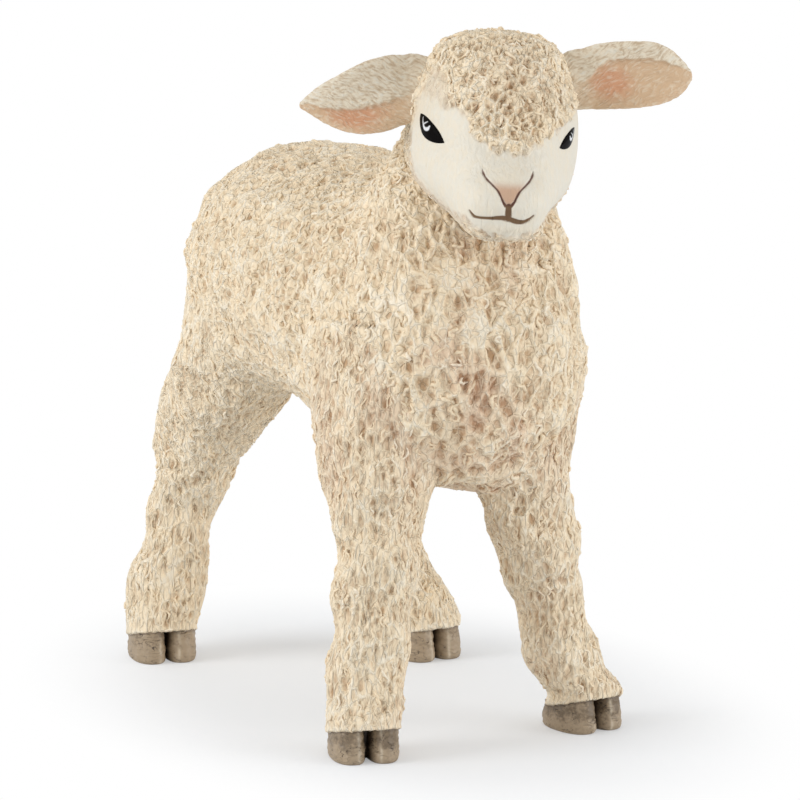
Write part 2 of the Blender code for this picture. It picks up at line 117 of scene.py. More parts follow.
def even_places(
    table: Table, scale: tuple, step: float, first: float = 0.0, last: float | None = None
) -> Array:
    """Places in a table between which its fastest column moves by about one step.

    Args:
        table: Rows of numbers.
        scale: Length of each column in millimetres, 0 for a column that doesn't count.
        step: Wanted movement in millimetres.
        first: First place.
        last: Last place, or None for the end of the table.

    Returns:
        The places, both ends among them.
    """
    last = len(table) - 1 if last is None else last
    fine = np.linspace(first, last, 2000)
    moved = np.abs(np.diff(table_at(table, fine) * np.asarray(scale), axis=0)).max(axis=1)
    way = np.concatenate([[0.0], np.cumsum(moved)])
    count = max(4, int(way[-1] / step))
    return np.interp(np.linspace(0, way[-1], count), way, fine)


def scatter(cell: Array, seed: int) -> Array:
    """Three numbers from 0 to 1 for each whole-numbered cell, by hashing its place.

    Args:
        cell: Whole-numbered places.
        seed: Number of the pattern.

    Returns:
        Three numbers for each cell.
    """
    mixed = (cell[..., 0] * 73856093) ^ (cell[..., 1] * 19349663) ^ (cell[..., 2] * 83492791)
    mixed = mixed ^ (seed * 2654435761)
    mixed = (mixed ^ (mixed >> 13)) * 1274126177 & 0x7FFFFFFF
    return np.stack([((mixed >> (k * 9)) & 255) / 255 for k in range(3)], axis=-1)


def gradient_noise(points: Array, seed: int) -> Array:
    """Smooth noise of about -1 to 1: gradients hashed to the corners of unit cells, blended with a quintic.

    Args:
        points: Places, with the cell as the unit.
        seed: Number of the pattern.

    Returns:
        One value for each place.
    """
    cell = np.floor(points).astype(np.int64)
    part = points - cell
    blend = part**3 * (part * (part * 6 - 15) + 10)
    total = np.zeros(points.shape[:-1])
    for corner in np.ndindex(2, 2, 2):
        pull = ((part - np.array(corner)) * (2 * scatter(cell + np.array(corner), seed) - 1)).sum(axis=-1)
        total += np.prod(np.where(np.array(corner) == 1, blend, 1 - blend), axis=-1) * pull
    return total * 1.6


def cell_walls(points: Array, seed: int) -> Array:
    """How near places lie to the walls of cells, each cell being what is nearest to one of many scattered points.

    It is the distance to the second nearest of the scattered points less the distance to the nearest.

    Args:
        points: Places, with the spacing of the scattered points as the unit.
        seed: Number of the pattern.

    Returns:
        One value for each place, 0 on a wall.
    """
    cell = np.floor(points).astype(np.int64)
    first = np.full(points.shape[:-1], FAR)
    second = first.copy()
    for corner in np.ndindex(3, 3, 3):
        at = cell + np.array(corner) - 1
        gap = np.sqrt(((at + scatter(at, seed) - points) ** 2).sum(axis=-1))
        second = np.minimum(second, np.maximum(first, gap))
        first = np.minimum(first, gap)
    return second - first


def oval_rings(low: Array, high: Array, side: Array, widest: Array, columns: int) -> Array:
    """Oval sections: each runs from its low point to its high point and is widest at a share of the way up.

    Args:
        low: Lowest point of each ring.
        high: Highest point of each ring.
        side: Half width of each ring, as a vector.
        widest: Share of the way up at which each ring is widest.
        columns: Points round a ring.

    Returns:
        Points, as rings by columns by 3.
    """
    angle = round_angles(columns)
    rise = np.sin(angle)[None, :]
    middle = np.asarray(widest, float).reshape(-1, 1)
    share = middle + np.where(rise > 0, (1 - middle) * rise, middle * rise)
    up = low[:, None, :] + share[..., None] * (high - low)[:, None, :]
    return up + np.cos(angle)[None, :, None] * side[:, None, :]


def waved(rings: Array, length: float = 5.2, height: float = 0.18) -> Array:
    """The solids' lumps of fleece: rings pushed in and out by waves that cross the whole figure.

    The wave is sin x cos y + sin y cos z + sin z cos x, and it fades out over its length at both ends of the rings.

    Args:
        rings: Rings of a loft.
        length: Length of the waves.
        height: Height of the waves.

    Returns:
        The moved rings.
    """
    way = np.concatenate([[0.0], np.cumsum(np.linalg.norm(np.diff(rings, axis=0), axis=2).mean(axis=1))])
    fade = np.clip(np.minimum(way, (way[-1] - way) / 2) / length, 0, 1)[:, None]
    x, y, z = np.moveaxis(2 * math.pi * rings / length, 2, 0)
    wave = np.sin(x) * np.cos(y) + np.sin(y) * np.cos(z) + np.sin(z) * np.cos(x)
    outward = unit(rings - rings.mean(axis=1, keepdims=True))
    return rings + outward * (height * fade * wave)[..., None]


def rounded_end(ring: Array, outward: Array, bulge: float, count: int) -> Array:
    """Rings that close a loft with a low dome: they shrink by a cosine while they move outward by a sine.

    Args:
        ring: The ring that is closed.
        outward: Direction of the dome.
        bulge: Height of the dome.
        count: Number of rings.

    Returns:
        The new rings, from the wide one to the small one.
    """
    middle = ring.mean(axis=0)
    turn = (np.arange(1, count + 1) / count * 0.49 * math.pi)[:, None, None]
    return middle + (ring - middle)[None] * np.cos(turn) + np.asarray(outward) * bulge * np.sin(turn)


def mound(points: Array, middle: tuple, spread: float | tuple, height: float, mirrored: bool = True) -> Array:
    """A bell-shaped mound, or a hollow if its height is negative, on both sides of the middle plane if mirrored.

    Its height falls by the exponential of minus half the squared distance, counted in spreads.

    Args:
        points: Places.
        middle: Its middle.
        spread: Its spread, in all or along each axis.
        height: Its height.
        mirrored: Whether it stands on both sides.

    Returns:
        Its height at each place.
    """
    away = points.copy()
    if mirrored:
        away[..., 0] = np.abs(away[..., 0])
    away = (away - np.asarray(middle)) / np.asarray(spread)
    return height * np.exp(-0.5 * (away**2).sum(axis=-1))


def mounds(points: Array, rows: tuple) -> Array:
    """The sum of several mounds, each row of which holds the rest of what a mound takes."""
    return sum(mound(points, *row) for row in rows)


def stroke_distance(across: Array, up: Array, stroke: Table) -> Array:
    """Distance from a drawn line less its half width, for points in the plane in which it is drawn.

    Args:
        across: First coordinate of the points.
        up: Second coordinate of the points.
        stroke: Points of the line: across, up and half width.

    Returns:
        The distance, which is negative inside the line.
    """
    nearest = np.full(across.shape, FAR)
    for (x0, z0, r0), (x1, z1, r1) in zip(stroke[:-1], stroke[1:]):
        dx, dz = x1 - x0, z1 - z0
        t = np.clip(((across - x0) * dx + (up - z0) * dz) / (dx * dx + dz * dz), 0, 1)
        gap = np.hypot(across - x0 - t * dx, up - z0 - t * dz) - (r0 + t * (r1 - r0))
        nearest = np.minimum(nearest, gap)
    return nearest


def softened(stroke: Table, count: int = 6) -> Table:
    """The same line with more points, on a smooth curve through its own."""
    gaps = len(stroke) - 1
    return tuple(tuple(row) for row in table_at(stroke, np.linspace(0, gaps, count * gaps + 1)))


# ---------------------------------------------------------------- skins and meshes


class Skin:
    """A closed surface on a grid: rows run along the piece, columns run round it and wrap."""

    def __init__(self, points: Array) -> None:
        """Keeps the grid and finds which way is outward.

        Args:
            points: Rows by columns by 3, in millimetres.
        """
        self.points = points
        self.turned = False
        middle = points.mean(axis=1, keepdims=True)
        self.turned = bool((self.normals() * (points - middle)).sum() < 0)
        self.marks: dict[str, Array] = {}

    def slopes(self) -> tuple[Array, Array]:
        """Steps from row to row and from column to column."""
        along = np.gradient(self.points, axis=0)
        round_it = (np.roll(self.points, -1, axis=1) - np.roll(self.points, 1, axis=1)) / 2
        return along, round_it

    def normals(self) -> Array:
        """Unit outward normals: the cross product of the two slopes."""
        along, round_it = self.slopes()
        cross = unit(np.cross(round_it, along))
        return -cross if self.turned else cross

    def swell(self, amount: Array) -> None:
        """Moves each point along its normal by its own amount."""
        self.points = self.points + self.normals() * amount[..., None]

    def patch_areas(self) -> Array:
        """Area that belongs to each point of the grid."""
        along, round_it = self.slopes()
        return np.linalg.norm(np.cross(along, round_it), axis=-1)

    def at(self, values: Array, row: Array, column: Array) -> Array:
        """Values between the points of the grid, by blending the four corners round each place.

        Args:
            values: One value or vector for each point of the grid.
            row: Fractional rows, held inside the grid.
            column: Fractional columns, which wrap.

        Returns:
            One value or vector for each place.
        """
        rows, columns = values.shape[:2]
        row = np.clip(row, 0, rows - 1.001)
        r0, c0 = np.floor(row).astype(int), np.floor(column).astype(int)
        fr, fc = row - r0, column - c0
        if values.ndim == 3:
            fr, fc = fr[..., None], fc[..., None]
        ca, cb = c0 % columns, (c0 + 1) % columns
        upper = values[r0, ca] * (1 - fc) + values[r0, cb] * fc
        lower = values[r0 + 1, ca] * (1 - fc) + values[r0 + 1, cb] * fc
        return upper * (1 - fr) + lower * fr

    def bands(self, count: int, margin: int = 3, dip: float = 0.35) -> "list[Skin]":
        """The skin in bands of rows, each of which dips under its neighbour past the row that they share.

        Args:
            count: Number of bands.
            margin: Number of rows over which a band dips.
            dip: How far it dips.

        Returns:
            The bands, with their marks.
        """
        inward, end = unit(self.points.mean(axis=1, keepdims=True) - self.points), len(self.points) - 1
        cuts = np.linspace(0, end, count + 1).astype(int)
        made = []
        for first, last in zip(cuts[:-1], cuts[1:]):
            row = np.arange(max(first - margin, 0), min(last + margin, end) + 1)
            past = np.clip(np.maximum(first - row, row - last), 0, None) / margin
            made.append(Skin(self.points[row] + inward[row] * (dip * past**2)[:, None, None]))
            made[-1].marks = {name: values[row] for name, values in self.marks.items()}
        return made

    def settle(self, targets: Array, row: Array, column: Array, rounds: int = 1) -> tuple[Array, Array]:
        """Slides places over the skin until they lie under their targets.

        Each round splits what is missing into steps of rows and columns, with the products of the two slopes.

        Args:
            targets: Wanted places near the skin, as seeds by points by 3.
            row: First row of each place.
            column: First column of each place.
            rounds: Number of rounds.

        Returns:
            Places on the skin and the unit normals there.
        """
        along, round_it = self.slopes()
        normals = self.normals()
        for _ in range(rounds):
            missing = targets - self.at(self.points, row, column)
            pu, pv = self.at(along, row, column), self.at(round_it, row, column)
            uu, vv, uv = (pu * pu).sum(-1), (pv * pv).sum(-1), (pu * pv).sum(-1)
            det = np.maximum(uu * vv - uv * uv, TINY)
            su, sv = (missing * pu).sum(-1), (missing * pv).sum(-1)
            row, column = row + (su * vv - sv * uv) / det, column + (sv * uu - su * uv) / det
        return self.at(self.points, row, column), unit(self.at(normals, row, column))

    def lay(self, row: Array, column: Array, across: Array, down: Array) -> tuple[Array, Array]:
        """Lays flat drawings on the skin, each round its own seed in the plane that touches the skin there.

        Args:
            row: Row of each seed.
            column: Column of each seed.
            across: Offsets to the side, as seeds by points.
            down: Offsets towards the floor, as seeds by points.

        Returns:
            Places and unit normals of the drawings' points.
        """
        n = unit(self.at(self.normals(), row, column))
        plumb = np.array([0.0, 0.05, -1.0])
        fall = unit(plumb - n * (n @ plumb)[:, None])
        side = np.cross(n, fall)
        step = across[..., None] * side[:, None, :] + down[..., None] * fall[:, None, :]
        targets = self.at(self.points, row, column)[:, None, :] + step
        rows = np.broadcast_to(row[:, None], across.shape)
        return self.settle(targets, rows, np.broadcast_to(column[:, None], across.shape))

    def faces(self) -> tuple[Array, Array]:
        """Quads of the grid and triangles round its two poles, whose points come after the grid's."""
        rows, columns = self.points.shape[:2]
        r, c = np.meshgrid(np.arange(rows - 1), np.arange(columns), indexing="ij")
        a, b = (r * columns + c).ravel(), (r * columns + (c + 1) % columns).ravel()
        quads = np.stack([a, b, b + columns, a + columns], axis=1)
        c = np.arange(columns)
        after = (c + 1) % columns
        base = (rows - 1) * columns
        first = np.stack([after, c, np.full(columns, rows * columns)], axis=1)
        last = np.stack([base + c, base + after, np.full(columns, rows * columns + 1)], axis=1)
        tris = np.vstack([first, last])
        return (quads[:, ::-1], tris[:, ::-1]) if self.turned else (quads, tris)

    def solid(self) -> "Solid":
        """The skin as a closed mesh, with an unwrapped map of its rows and columns."""
        rows, columns = self.points.shape[:2]
        ends = np.stack([self.points[0].mean(axis=0), self.points[-1].mean(axis=0)])
        quads, tris = self.faces()
        marks = {}
        for name, values in self.marks.items():
            marks[name] = np.concatenate([values.ravel(), [values[0].mean(), values[-1].mean()]])
        unwrapped = []
        for group in (quads, tris):
            row, column = group // columns, (group % columns).astype(float)
            pole = group >= rows * columns
            column[(column == 0) & (np.where(pole, 0, column).max(axis=1, keepdims=True) == columns - 1)] = columns
            row = np.minimum(row, rows - 1) + 1
            row = np.where(group == rows * columns, 0, np.where(group == rows * columns + 1, rows + 1, row))
            others = np.where(pole, 0, column).sum(axis=1, keepdims=True)
            column = np.where(pole, others / np.maximum((~pole).sum(axis=1, keepdims=True), 1), column)
            unwrapped.append(np.stack([column / columns, row / (rows + 1)], axis=-1).reshape(-1, 2))
        return Solid(np.vstack([self.points.reshape(-1, 3), ends]), [quads, tris], marks, np.vstack(unwrapped))


@dataclass
class Solid:
    """Points, faces, named values on the points and a map for each corner: what a mesh is made from."""

    points: Array
    groups: list[Array]
    marks: dict[str, Array]
    unwrapped: Array

    def joined(self, other: "Solid") -> "Solid":
        """This solid and another in one, with their maps side by side.

        Args:
            other: The other solid, with the same marks.

        Returns:
            The solid of both.
        """
        shift = len(self.points)
        marks = {name: np.concatenate([self.marks[name], other.marks[name]]) for name in self.marks}
        halves = [self.unwrapped * [0.5, 1.0], other.unwrapped * [0.5, 1.0] + [0.5, 0.0]]
        groups = self.groups + [group + shift for group in other.groups]
        return Solid(np.vstack([self.points, other.points]), groups, marks, np.vstack(halves))


def placed(name: str, data: bpy.types.ID) -> bpy.types.Object:
    """A new object of that data, linked to the scene.

    Args:
        name: Name of the object.
        data: What it shows.

    Returns:
        The object.
    """
    made = bpy.data.objects.new(name, data)
    bpy.context.scene.collection.objects.link(made)
    return made


@dataclass(frozen=True)
class Studio:
    """Where the lamb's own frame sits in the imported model, the finishes and the mesh maker."""

    shift: tuple[float, float, float]
    finishes: dict[str, Material]

    @classmethod
    def from_frame(cls, body: "Torso", foot: tuple) -> "Studio":
        """Finds the shift from the middle of the front right hoof's box, and makes the finishes.

        Args:
            body: The torso, of whose size the hoof's place is a share.
            foot: That share, across and along.

        Returns:
            The studio.
        """
        low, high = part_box("front_right_hoof")
        middle = (low + high) / 2 / MM
        return cls((middle.x - foot[0] * body.width, middle.y - foot[1] * body.length, 0.0), made_finishes())

    def piece(self, name: str, solid: Solid, finish: str, nodes: tuple = ()) -> None:
        """Makes a piece, dresses it and seats it in the frame.

        Args:
            name: Name of the piece.
            solid: Its points and faces.
            finish: Which of the finishes it has.
            nodes: CAD nodes for which it stands.
        """
        mesh = bpy.data.meshes.new(name)
        sizes = np.concatenate([np.full(len(group), group.shape[1]) for group in solid.groups])
        corners = np.concatenate([group.ravel() for group in solid.groups]).astype(np.int32)
        mesh.vertices.add(len(solid.points))
        mesh.loops.add(len(corners))
        mesh.polygons.add(len(sizes))
        mesh.vertices.foreach_set("co", ((solid.points + np.array(self.shift)) * MM).astype(np.float32).ravel())
        mesh.loops.foreach_set("vertex_index", corners)
        mesh.polygons.foreach_set("loop_start", np.concatenate([[0], np.cumsum(sizes)[:-1]]).astype(np.int32))
        for label, values in solid.marks.items():
            layer = mesh.attributes.new(label, "FLOAT", "POINT")
            layer.data.foreach_set("value", values.astype(np.float32))
        layer = mesh.uv_layers.new(name="OFBake")
        layer.data.foreach_set("uv", solid.unwrapped.astype(np.float32).ravel())
        mesh.update(calc_edges=True)
        mesh.validate()
        mesh.shade_smooth()
        made = placed(name, mesh)
        mesh.materials.append(self.finishes[finish])
        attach(made, "root")
        if nodes:
            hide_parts(*nodes)
        LOG.info("%s: %d points, %d faces", name, len(solid.points), len(sizes))

    def crop(self, name: str, curls: "Curls", skin: Skin, seed: int, keep: Array, size: Array | None = None) -> None:
        """Makes a piece of the curls that grow on a skin, from what their grow method takes."""
        self.piece(name, curls.grow(skin, seed, keep, size), "curl")


# ---------------------------------------------------------------- curls


@dataclass(frozen=True)
class Curls:
    """A crop of small worm-like locks, half sunk in a skin.

    A lock's heading turns evenly along it, with a wave on top, so that it makes a hook, a loop or an S. It thins and
    dips into the skin at both ends, by the fourth power of the way from its middle.
    """

    per_area: float
    length: tuple[float, float] = (0.8, 1.4)
    radius: tuple[float, float] = (0.08, 0.13)
    turn: float = 3.2
    wave: float = 0.8
    lie: Lie = Lie.LOOSE
    lift: float = 0.35
    stir: tuple[float, float] = (-0.5, 0.6)
    dip: float = 1.2
    taper: float = 0.6
    uneven: float = 0.22
    rings: int = 6
    sides: int = 5

    def grow(self, skin: Skin, seed: int, keep: Array, size: Array | None = None) -> Solid:
        """Grows the locks.

        Args:
            skin: The surface that carries them.
            seed: Number of the crop.
            keep: Share of locks wanted at each point of the grid, from 0 to 1.
            size: Scale of the locks at each point of the grid.

        Returns:
            All the locks as one solid, with marks for how high a point stands on its lock and for its tone.
        """
        rng = np.random.default_rng(seed)
        weight = (skin.patch_areas() * keep).ravel()
        count = int(weight.sum() * self.per_area)
        cells = rng.choice(weight.size, count, p=weight / weight.sum())
        columns = skin.points.shape[1]
        row = cells // columns + rng.uniform(-0.5, 0.5, count)
        column = cells % columns + rng.uniform(-0.5, 0.5, count)
        scale = np.ones(count) if size is None else skin.at(size, row, column)
        s = np.linspace(0, 1, self.rings)[None, :]
        heading = rng.uniform(-1, 1, count)[:, None] * self.lie.value
        bend = rng.choice([-1, 1], count)[:, None] * rng.uniform(0.35, 1, count)[:, None]
        heading = heading + bend * self.turn * (s - 0.5)
        heading = heading + self.wave * np.sin(2 * math.pi * s + rng.uniform(0, 6.28, count)[:, None])
        long = rng.uniform(*self.length, count)[:, None] * scale[:, None]
        stride = long / (self.rings - 1)
        across = np.cumsum(np.sin(heading) * stride, axis=1)
        down = np.cumsum(np.cos(heading) * stride, axis=1)
        across -= across.mean(axis=1, keepdims=True)
        down -= down.mean(axis=1, keepdims=True)
        place, normal = skin.lay(row, column, across, down)
        uneven = 1 + self.uneven * np.sin(2 * math.pi * (1.3 * s + rng.uniform(0, 1, count)[:, None]))
        end = (2 * s - 1) ** 4
        thick = rng.uniform(*self.radius, count)[:, None] * scale[:, None] * uneven * (1 - self.taper * end)
        lift = self.lift + rng.uniform(*self.stir, count)[:, None]
        place = place + normal * (thick * (lift - self.dip * end))[..., None]
        ahead = unit(np.gradient(place, axis=1))
        side = unit(np.cross(ahead, normal))
        up = np.cross(side, ahead)
        angle = round_angles(self.sides) + math.pi / 2
        ring = np.cos(angle)[:, None] * side[:, :, None, :] + np.sin(angle)[:, None] * up[:, :, None, :]
        points = place[:, :, None, :] + thick[:, :, None, None] * ring
        crest = np.broadcast_to((np.sin(angle) * 0.5 + 0.5)[None, None, :], points.shape[:3])
        tone = np.broadcast_to(rng.uniform(0, 1, count)[:, None, None], points.shape[:3])
        marks = {"crest": crest.ravel(), "tone": tone.ravel()}
        # Each lock takes the wash mark of the skin below: the painter's wash and painted shade.
        wash_and_shade = skin.at(skin.marks["wash_and_shade"], row, column)
        marks["wash_and_shade"] = np.broadcast_to(wash_and_shade[:, None, None], points.shape[:3]).ravel()
        return self.stitched(points, marks)

    def stitched(self, points: Array, marks: dict[str, Array]) -> Solid:
        """Faces and map of the locks: quads along each, a flat cap at each end and a cell of the map for each.

        Args:
            points: Locks by rings by sides by 3.
            marks: Values of the points, by name.

        Returns:
            The locks as one solid.
        """
        count, rings, sides = points.shape[:3]
        base = (np.arange(count) * rings * sides)[:, None, None]
        r, c = np.meshgrid(np.arange(rings - 1), np.arange(sides), indexing="ij")
        a, b = (r * sides + c)[None] + base, (r * sides + (c + 1) % sides)[None] + base
        quads = np.stack([a, a + sides, b + sides, b], axis=-1).reshape(-1, 4)
        first = np.arange(sides)[None] + base[:, :, 0]
        last = (rings - 1) * sides + np.arange(sides)[None, ::-1] + base[:, :, 0]
        caps = np.vstack([first, last])
        cells = math.ceil(math.sqrt(count))
        number = np.arange(count)
        corner = np.stack([number % cells, number // cells], axis=-1) / cells
        u = np.stack([c, c, c + 1, c + 1], axis=-1) / sides * 0.8 + 0.05
        v = np.stack([r, r + 1, r + 1, r], axis=-1) / (rings - 1) * 0.9 + 0.05
        quad_map = corner[:, None, None, None, :] + np.stack([u, v], axis=-1)[None] / cells
        turn = round_angles(sides)
        disc = np.stack([np.cos(turn) * 0.04 + 0.93, np.sin(turn) * 0.04], axis=-1)
        first_map = corner[:, None, :] + (disc + [0, 0.3])[None] / cells
        last_map = corner[:, None, :] + (disc + [0, 0.6])[None] / cells
        unwrapped = np.vstack([quad_map.reshape(-1, 2), first_map.reshape(-1, 2), last_map.reshape(-1, 2)])
        return Solid(points.reshape(-1, 3), [quads, caps], marks, unwrapped)


# ---------------------------------------------------------------- shaders


class Term:
    """A number in a shader, whose operators add Math nodes."""

    def __init__(self, wiring: "Wiring", socket: Socket) -> None:
        """Wraps a socket of the wiring's node tree."""
        self.wiring = wiring
        self.socket = socket

    def math(self, operation: str, *others: "Term | Socket | float", first: float | None = None) -> "Term":
        """A Math node of this term and others, or with a number first."""
        values = (self, *others) if first is None else (first, self)
        return self.wiring.term("ShaderNodeMath", {"operation": operation}, dict(enumerate(values)))

    def __add__(self, other: "Term | float") -> "Term":
        """This plus the other."""
        return self.math("ADD", other)

    __radd__ = __add__

    def __mul__(self, other: "Term | float") -> "Term":
        """This times the other."""
        return self.math("MULTIPLY", other)

    __rmul__ = __mul__

    def __sub__(self, other: "Term | float") -> "Term":
        """This less the other."""
        return self.math("SUBTRACT", other)

    def __rsub__(self, other: float) -> "Term":
        """The other less this."""
        return self.math("SUBTRACT", first=other)

    def __abs__(self) -> "Term":
        """Size of this without its sign."""
        return self.math("ABSOLUTE")

    def step(self, low: float, high: float) -> "Term":
        """A soft step from 0 at low to 1 at high."""
        settings = {"interpolation_type": "SMOOTHSTEP"}
        return self.wiring.term("ShaderNodeMapRange", settings, {"Value": self, "From Min": low, "From Max": high})


class Wiring:
    """A node tree and the one method that adds nodes to it."""

    def __init__(self, tree: bpy.types.NodeTree) -> None:
        """Keeps the tree."""
        self.tree = tree

    def node(self, kind: str, settings: dict, inputs: dict) -> bpy.types.Node:
        """Adds a node.

        Args:
            kind: Type of the node.
            settings: Its properties, set first.
            inputs: Values or links of its sockets, by name or number.

        Returns:
            The node.
        """
        made = self.tree.nodes.new(kind)
        for key, value in settings.items():
            setattr(made, key, value)
        for key, value in inputs.items():
            source = value.socket if isinstance(value, Term) else value
            if isinstance(source, Socket):
                self.tree.links.new(source, made.inputs[key])
            else:
                made.inputs[key].default_value = source
        return made

    def term(self, kind: str, settings: dict, inputs: dict, output: int | str = 0) -> Term:
        """A number from a new node."""
        return Term(self, self.node(kind, settings, inputs).outputs[output])

    def vector(self, operation: str, inputs: dict) -> Socket:
        """A vector from a new Vector Math node."""
        return self.node("ShaderNodeVectorMath", {"operation": operation}, inputs).outputs[0]


class Paint(Wiring):
    """A Principled material."""

    def __init__(self, name: str, roughness: float, **constants: float) -> None:
        """Starts the material.

        Args:
            name: Name of the material.
            roughness: Its roughness.
            constants: Values of other sockets of the shader, with _ for a space.
        """
        self.material = bpy.data.materials.new(name)
        self.material.use_nodes = True
        super().__init__(self.material.node_tree)
        self.shader = self.tree.nodes["Principled BSDF"]
        for key, value in {"Roughness": roughness, **constants}.items():
            self.shader.inputs[key.replace("_", " ")].default_value = value

    def place(self) -> Socket:
        """Object coordinates in millimetres."""
        source = self.node("ShaderNodeTexCoord", {}, {}).outputs["Object"]
        return self.vector("SCALE", {0: source, "Scale": 1 / MM})

    def stretched(self, place: Socket, scale: tuple) -> Socket:
        """Coordinates times a number for each axis."""
        return self.vector("MULTIPLY", {0: place, 1: scale})

    def noise(self, place: Socket, scale: float, detail: float = 0.0, warp: float = 0.0) -> Term:
        """Noise about 0.5, with so many cells to the unit."""
        inputs = {"Vector": place, "Scale": scale, "Detail": detail, "Roughness": 0.5, "Distortion": warp}
        return self.term("ShaderNodeTexNoise", {}, inputs, "Fac")

    def ridges(self, place: Socket, scale: float, width: float, warp: float = 0.4) -> Term:
        """Thin winding ridges: 1 where the noise crosses its middle, 0 further than the width from it."""
        return 1 - abs(self.noise(place, scale, 0.0, warp) - 0.5).step(0.0, width)

    def cells(self, place: Socket, scale: float, width: float) -> Term:
        """Walls between cells, so many cells to the unit: 1 on a wall, 0 further than the width from it."""
        settings, inputs = {"feature": "DISTANCE_TO_EDGE"}, {"Vector": place, "Scale": scale}
        return 1 - self.term("ShaderNodeTexVoronoi", settings, inputs, "Distance").step(0.0, width)

    def bent(self, place: Socket, scale: float, amount: float) -> Socket:
        """Coordinates bent by noise of that scale, by about the amount.

        Args:
            place: The coordinates.
            scale: Cells of the noise to the unit.
            amount: How far they are bent.

        Returns:
            The bent coordinates.
        """
        noise = self.node("ShaderNodeTexNoise", {}, {"Vector": place, "Scale": scale, "Detail": 1.0}).outputs["Color"]
        centred = self.vector("SUBTRACT", {0: noise, 1: (0.5, 0.5, 0.5)})
        return self.vector("ADD", {0: place, 1: self.vector("SCALE", {0: centred, "Scale": 2 * amount})})

    def mark(self, name: str) -> Term:
        """A value of the piece's own points."""
        return self.term("ShaderNodeAttribute", {"attribute_name": name}, {}, "Fac")

    def mix(self, factor: "Term | float", low: object, high: object) -> Socket:
        """A colour between two colours, each a tuple or a socket.

        Args:
            factor: Share of the second colour.
            low: First colour.
            high: Second colour.

        Returns:
            The mixed colour.
        """
        inputs = {0: factor}
        for key, colour in ((6, low), (7, high)):
            inputs[key] = (*colour, 1.0) if isinstance(colour, tuple) else colour
        return self.node("ShaderNodeMix", {"data_type": "RGBA"}, inputs).outputs[2]

    def finish(self, colour: Socket, height: Term | None = None, depth: float = 0.0) -> Material:
        """Links the colour, and the height as a bump of that depth in millimetres.

        Args:
            colour: Base colour.
            height: The height, or None for no bump.
            depth: Depth of the bump.

        Returns:
            The material.
        """
        self.tree.links.new(colour, self.shader.inputs["Base Color"])
        if height is not None:
            bump = self.node("ShaderNodeBump", {}, {"Strength": 1.0, "Distance": depth * MM, "Height": height})
            self.tree.links.new(bump.outputs[0], self.shader.inputs["Normal"])
        return self.material


@dataclass(frozen=True)
class Palette:
    """Paint colours, as linear light."""

    cream: tuple = (0.90, 0.75, 0.535)
    pale: tuple = (0.94, 0.84, 0.67)
    fawn: tuple = (0.77, 0.56, 0.395)
    tan: tuple = (0.55, 0.36, 0.20)
    rust: tuple = (0.43, 0.23, 0.12)
    white: tuple = (0.745, 0.70, 0.60)
    shade: tuple = (0.78, 0.69, 0.54)
    line: tuple = (0.090, 0.024, 0.008)
    lip: tuple = (0.150, 0.078, 0.030)
    blush: tuple = (0.56, 0.365, 0.245)
    peach: tuple = (0.62, 0.32, 0.18)
    sand: tuple = (0.63, 0.44, 0.275)
    dun: tuple = (0.53, 0.40, 0.265)
    taupe: tuple = (0.170, 0.122, 0.074)
    stone: tuple = (0.37, 0.28, 0.185)
    # Dark brown: painted shade in the hooves' cleft and under the fleece's hem, and the horn's fine cracks.
    cleft: tuple = (0.050, 0.030, 0.017)


@dataclass(frozen=True)
class WoolFinish:
    """What painted fleece and painted curls share. Patches and grains are so many to the millimetre."""

    colours: Palette = Palette()
    roughness: float = 0.52
    patches: float = 0.33
    grains: float = 4.2

    def hollow(self, paint: Paint, patch: Term, wash_and_shade: Term) -> Socket:
        """The colour of hollows: tan, and rust where patches, the painter's wash and painted shade make them dark."""
        return paint.mix((patch + wash_and_shade * 0.9).step(0.45, 1.3), self.colours.tan, self.colours.rust)


@dataclass(frozen=True)
class FleeceFinish(WoolFinish):
    """Painted fleece: cream on the ridges of its relief, tan to rust in the pits, and a finer net over it."""

    stretch: tuple = (1.0, 1.0, 0.75)
    depth: float = 0.15

    def coat(self, paint: Paint, place: Socket) -> tuple[Socket, Term]:
        """The coat's colour and its fine height.

        Args:
            paint: The material.
            place: Object coordinates in millimetres.

        Returns:
            The colour and the height.
        """
        crest, wash_and_shade = paint.mark("crest"), paint.mark("wash_and_shade")
        drawn = paint.bent(paint.stretched(place, self.stretch), 1.3, 0.22)
        net = paint.cells(drawn, 2.0, 0.18)
        grain = paint.noise(drawn, self.grains, 2.0, 0.4)
        patch = paint.noise(place, self.patches, 2.0)
        # The wash mark holds the painter's wash and painted shade: it lowers the height, so more hollow colour shows,
        # and turns the cream fawn.
        height = crest * 0.95 + net * 0.25 + (grain - 0.5) * 1.1 - wash_and_shade * 0.35
        cream = paint.mix((wash_and_shade * (patch + 0.5)).step(0.1, 1.1) * 0.8, self.colours.cream, self.colours.fawn)
        coat = paint.mix((height + (patch - 0.5) * 0.6).step(-0.1, 0.85), self.hollow(paint, patch, wash_and_shade), cream)
        coat = paint.mix((height + (patch - 0.5) * 0.9).step(0.8, 1.3), coat, self.colours.pale)
        return coat, crest * 0.4 + net * 0.55 + grain * 0.8

    def made(self, name: str) -> Material:
        """The material."""
        paint = Paint(name, self.roughness)
        return paint.finish(*self.coat(paint, paint.place()), self.depth)


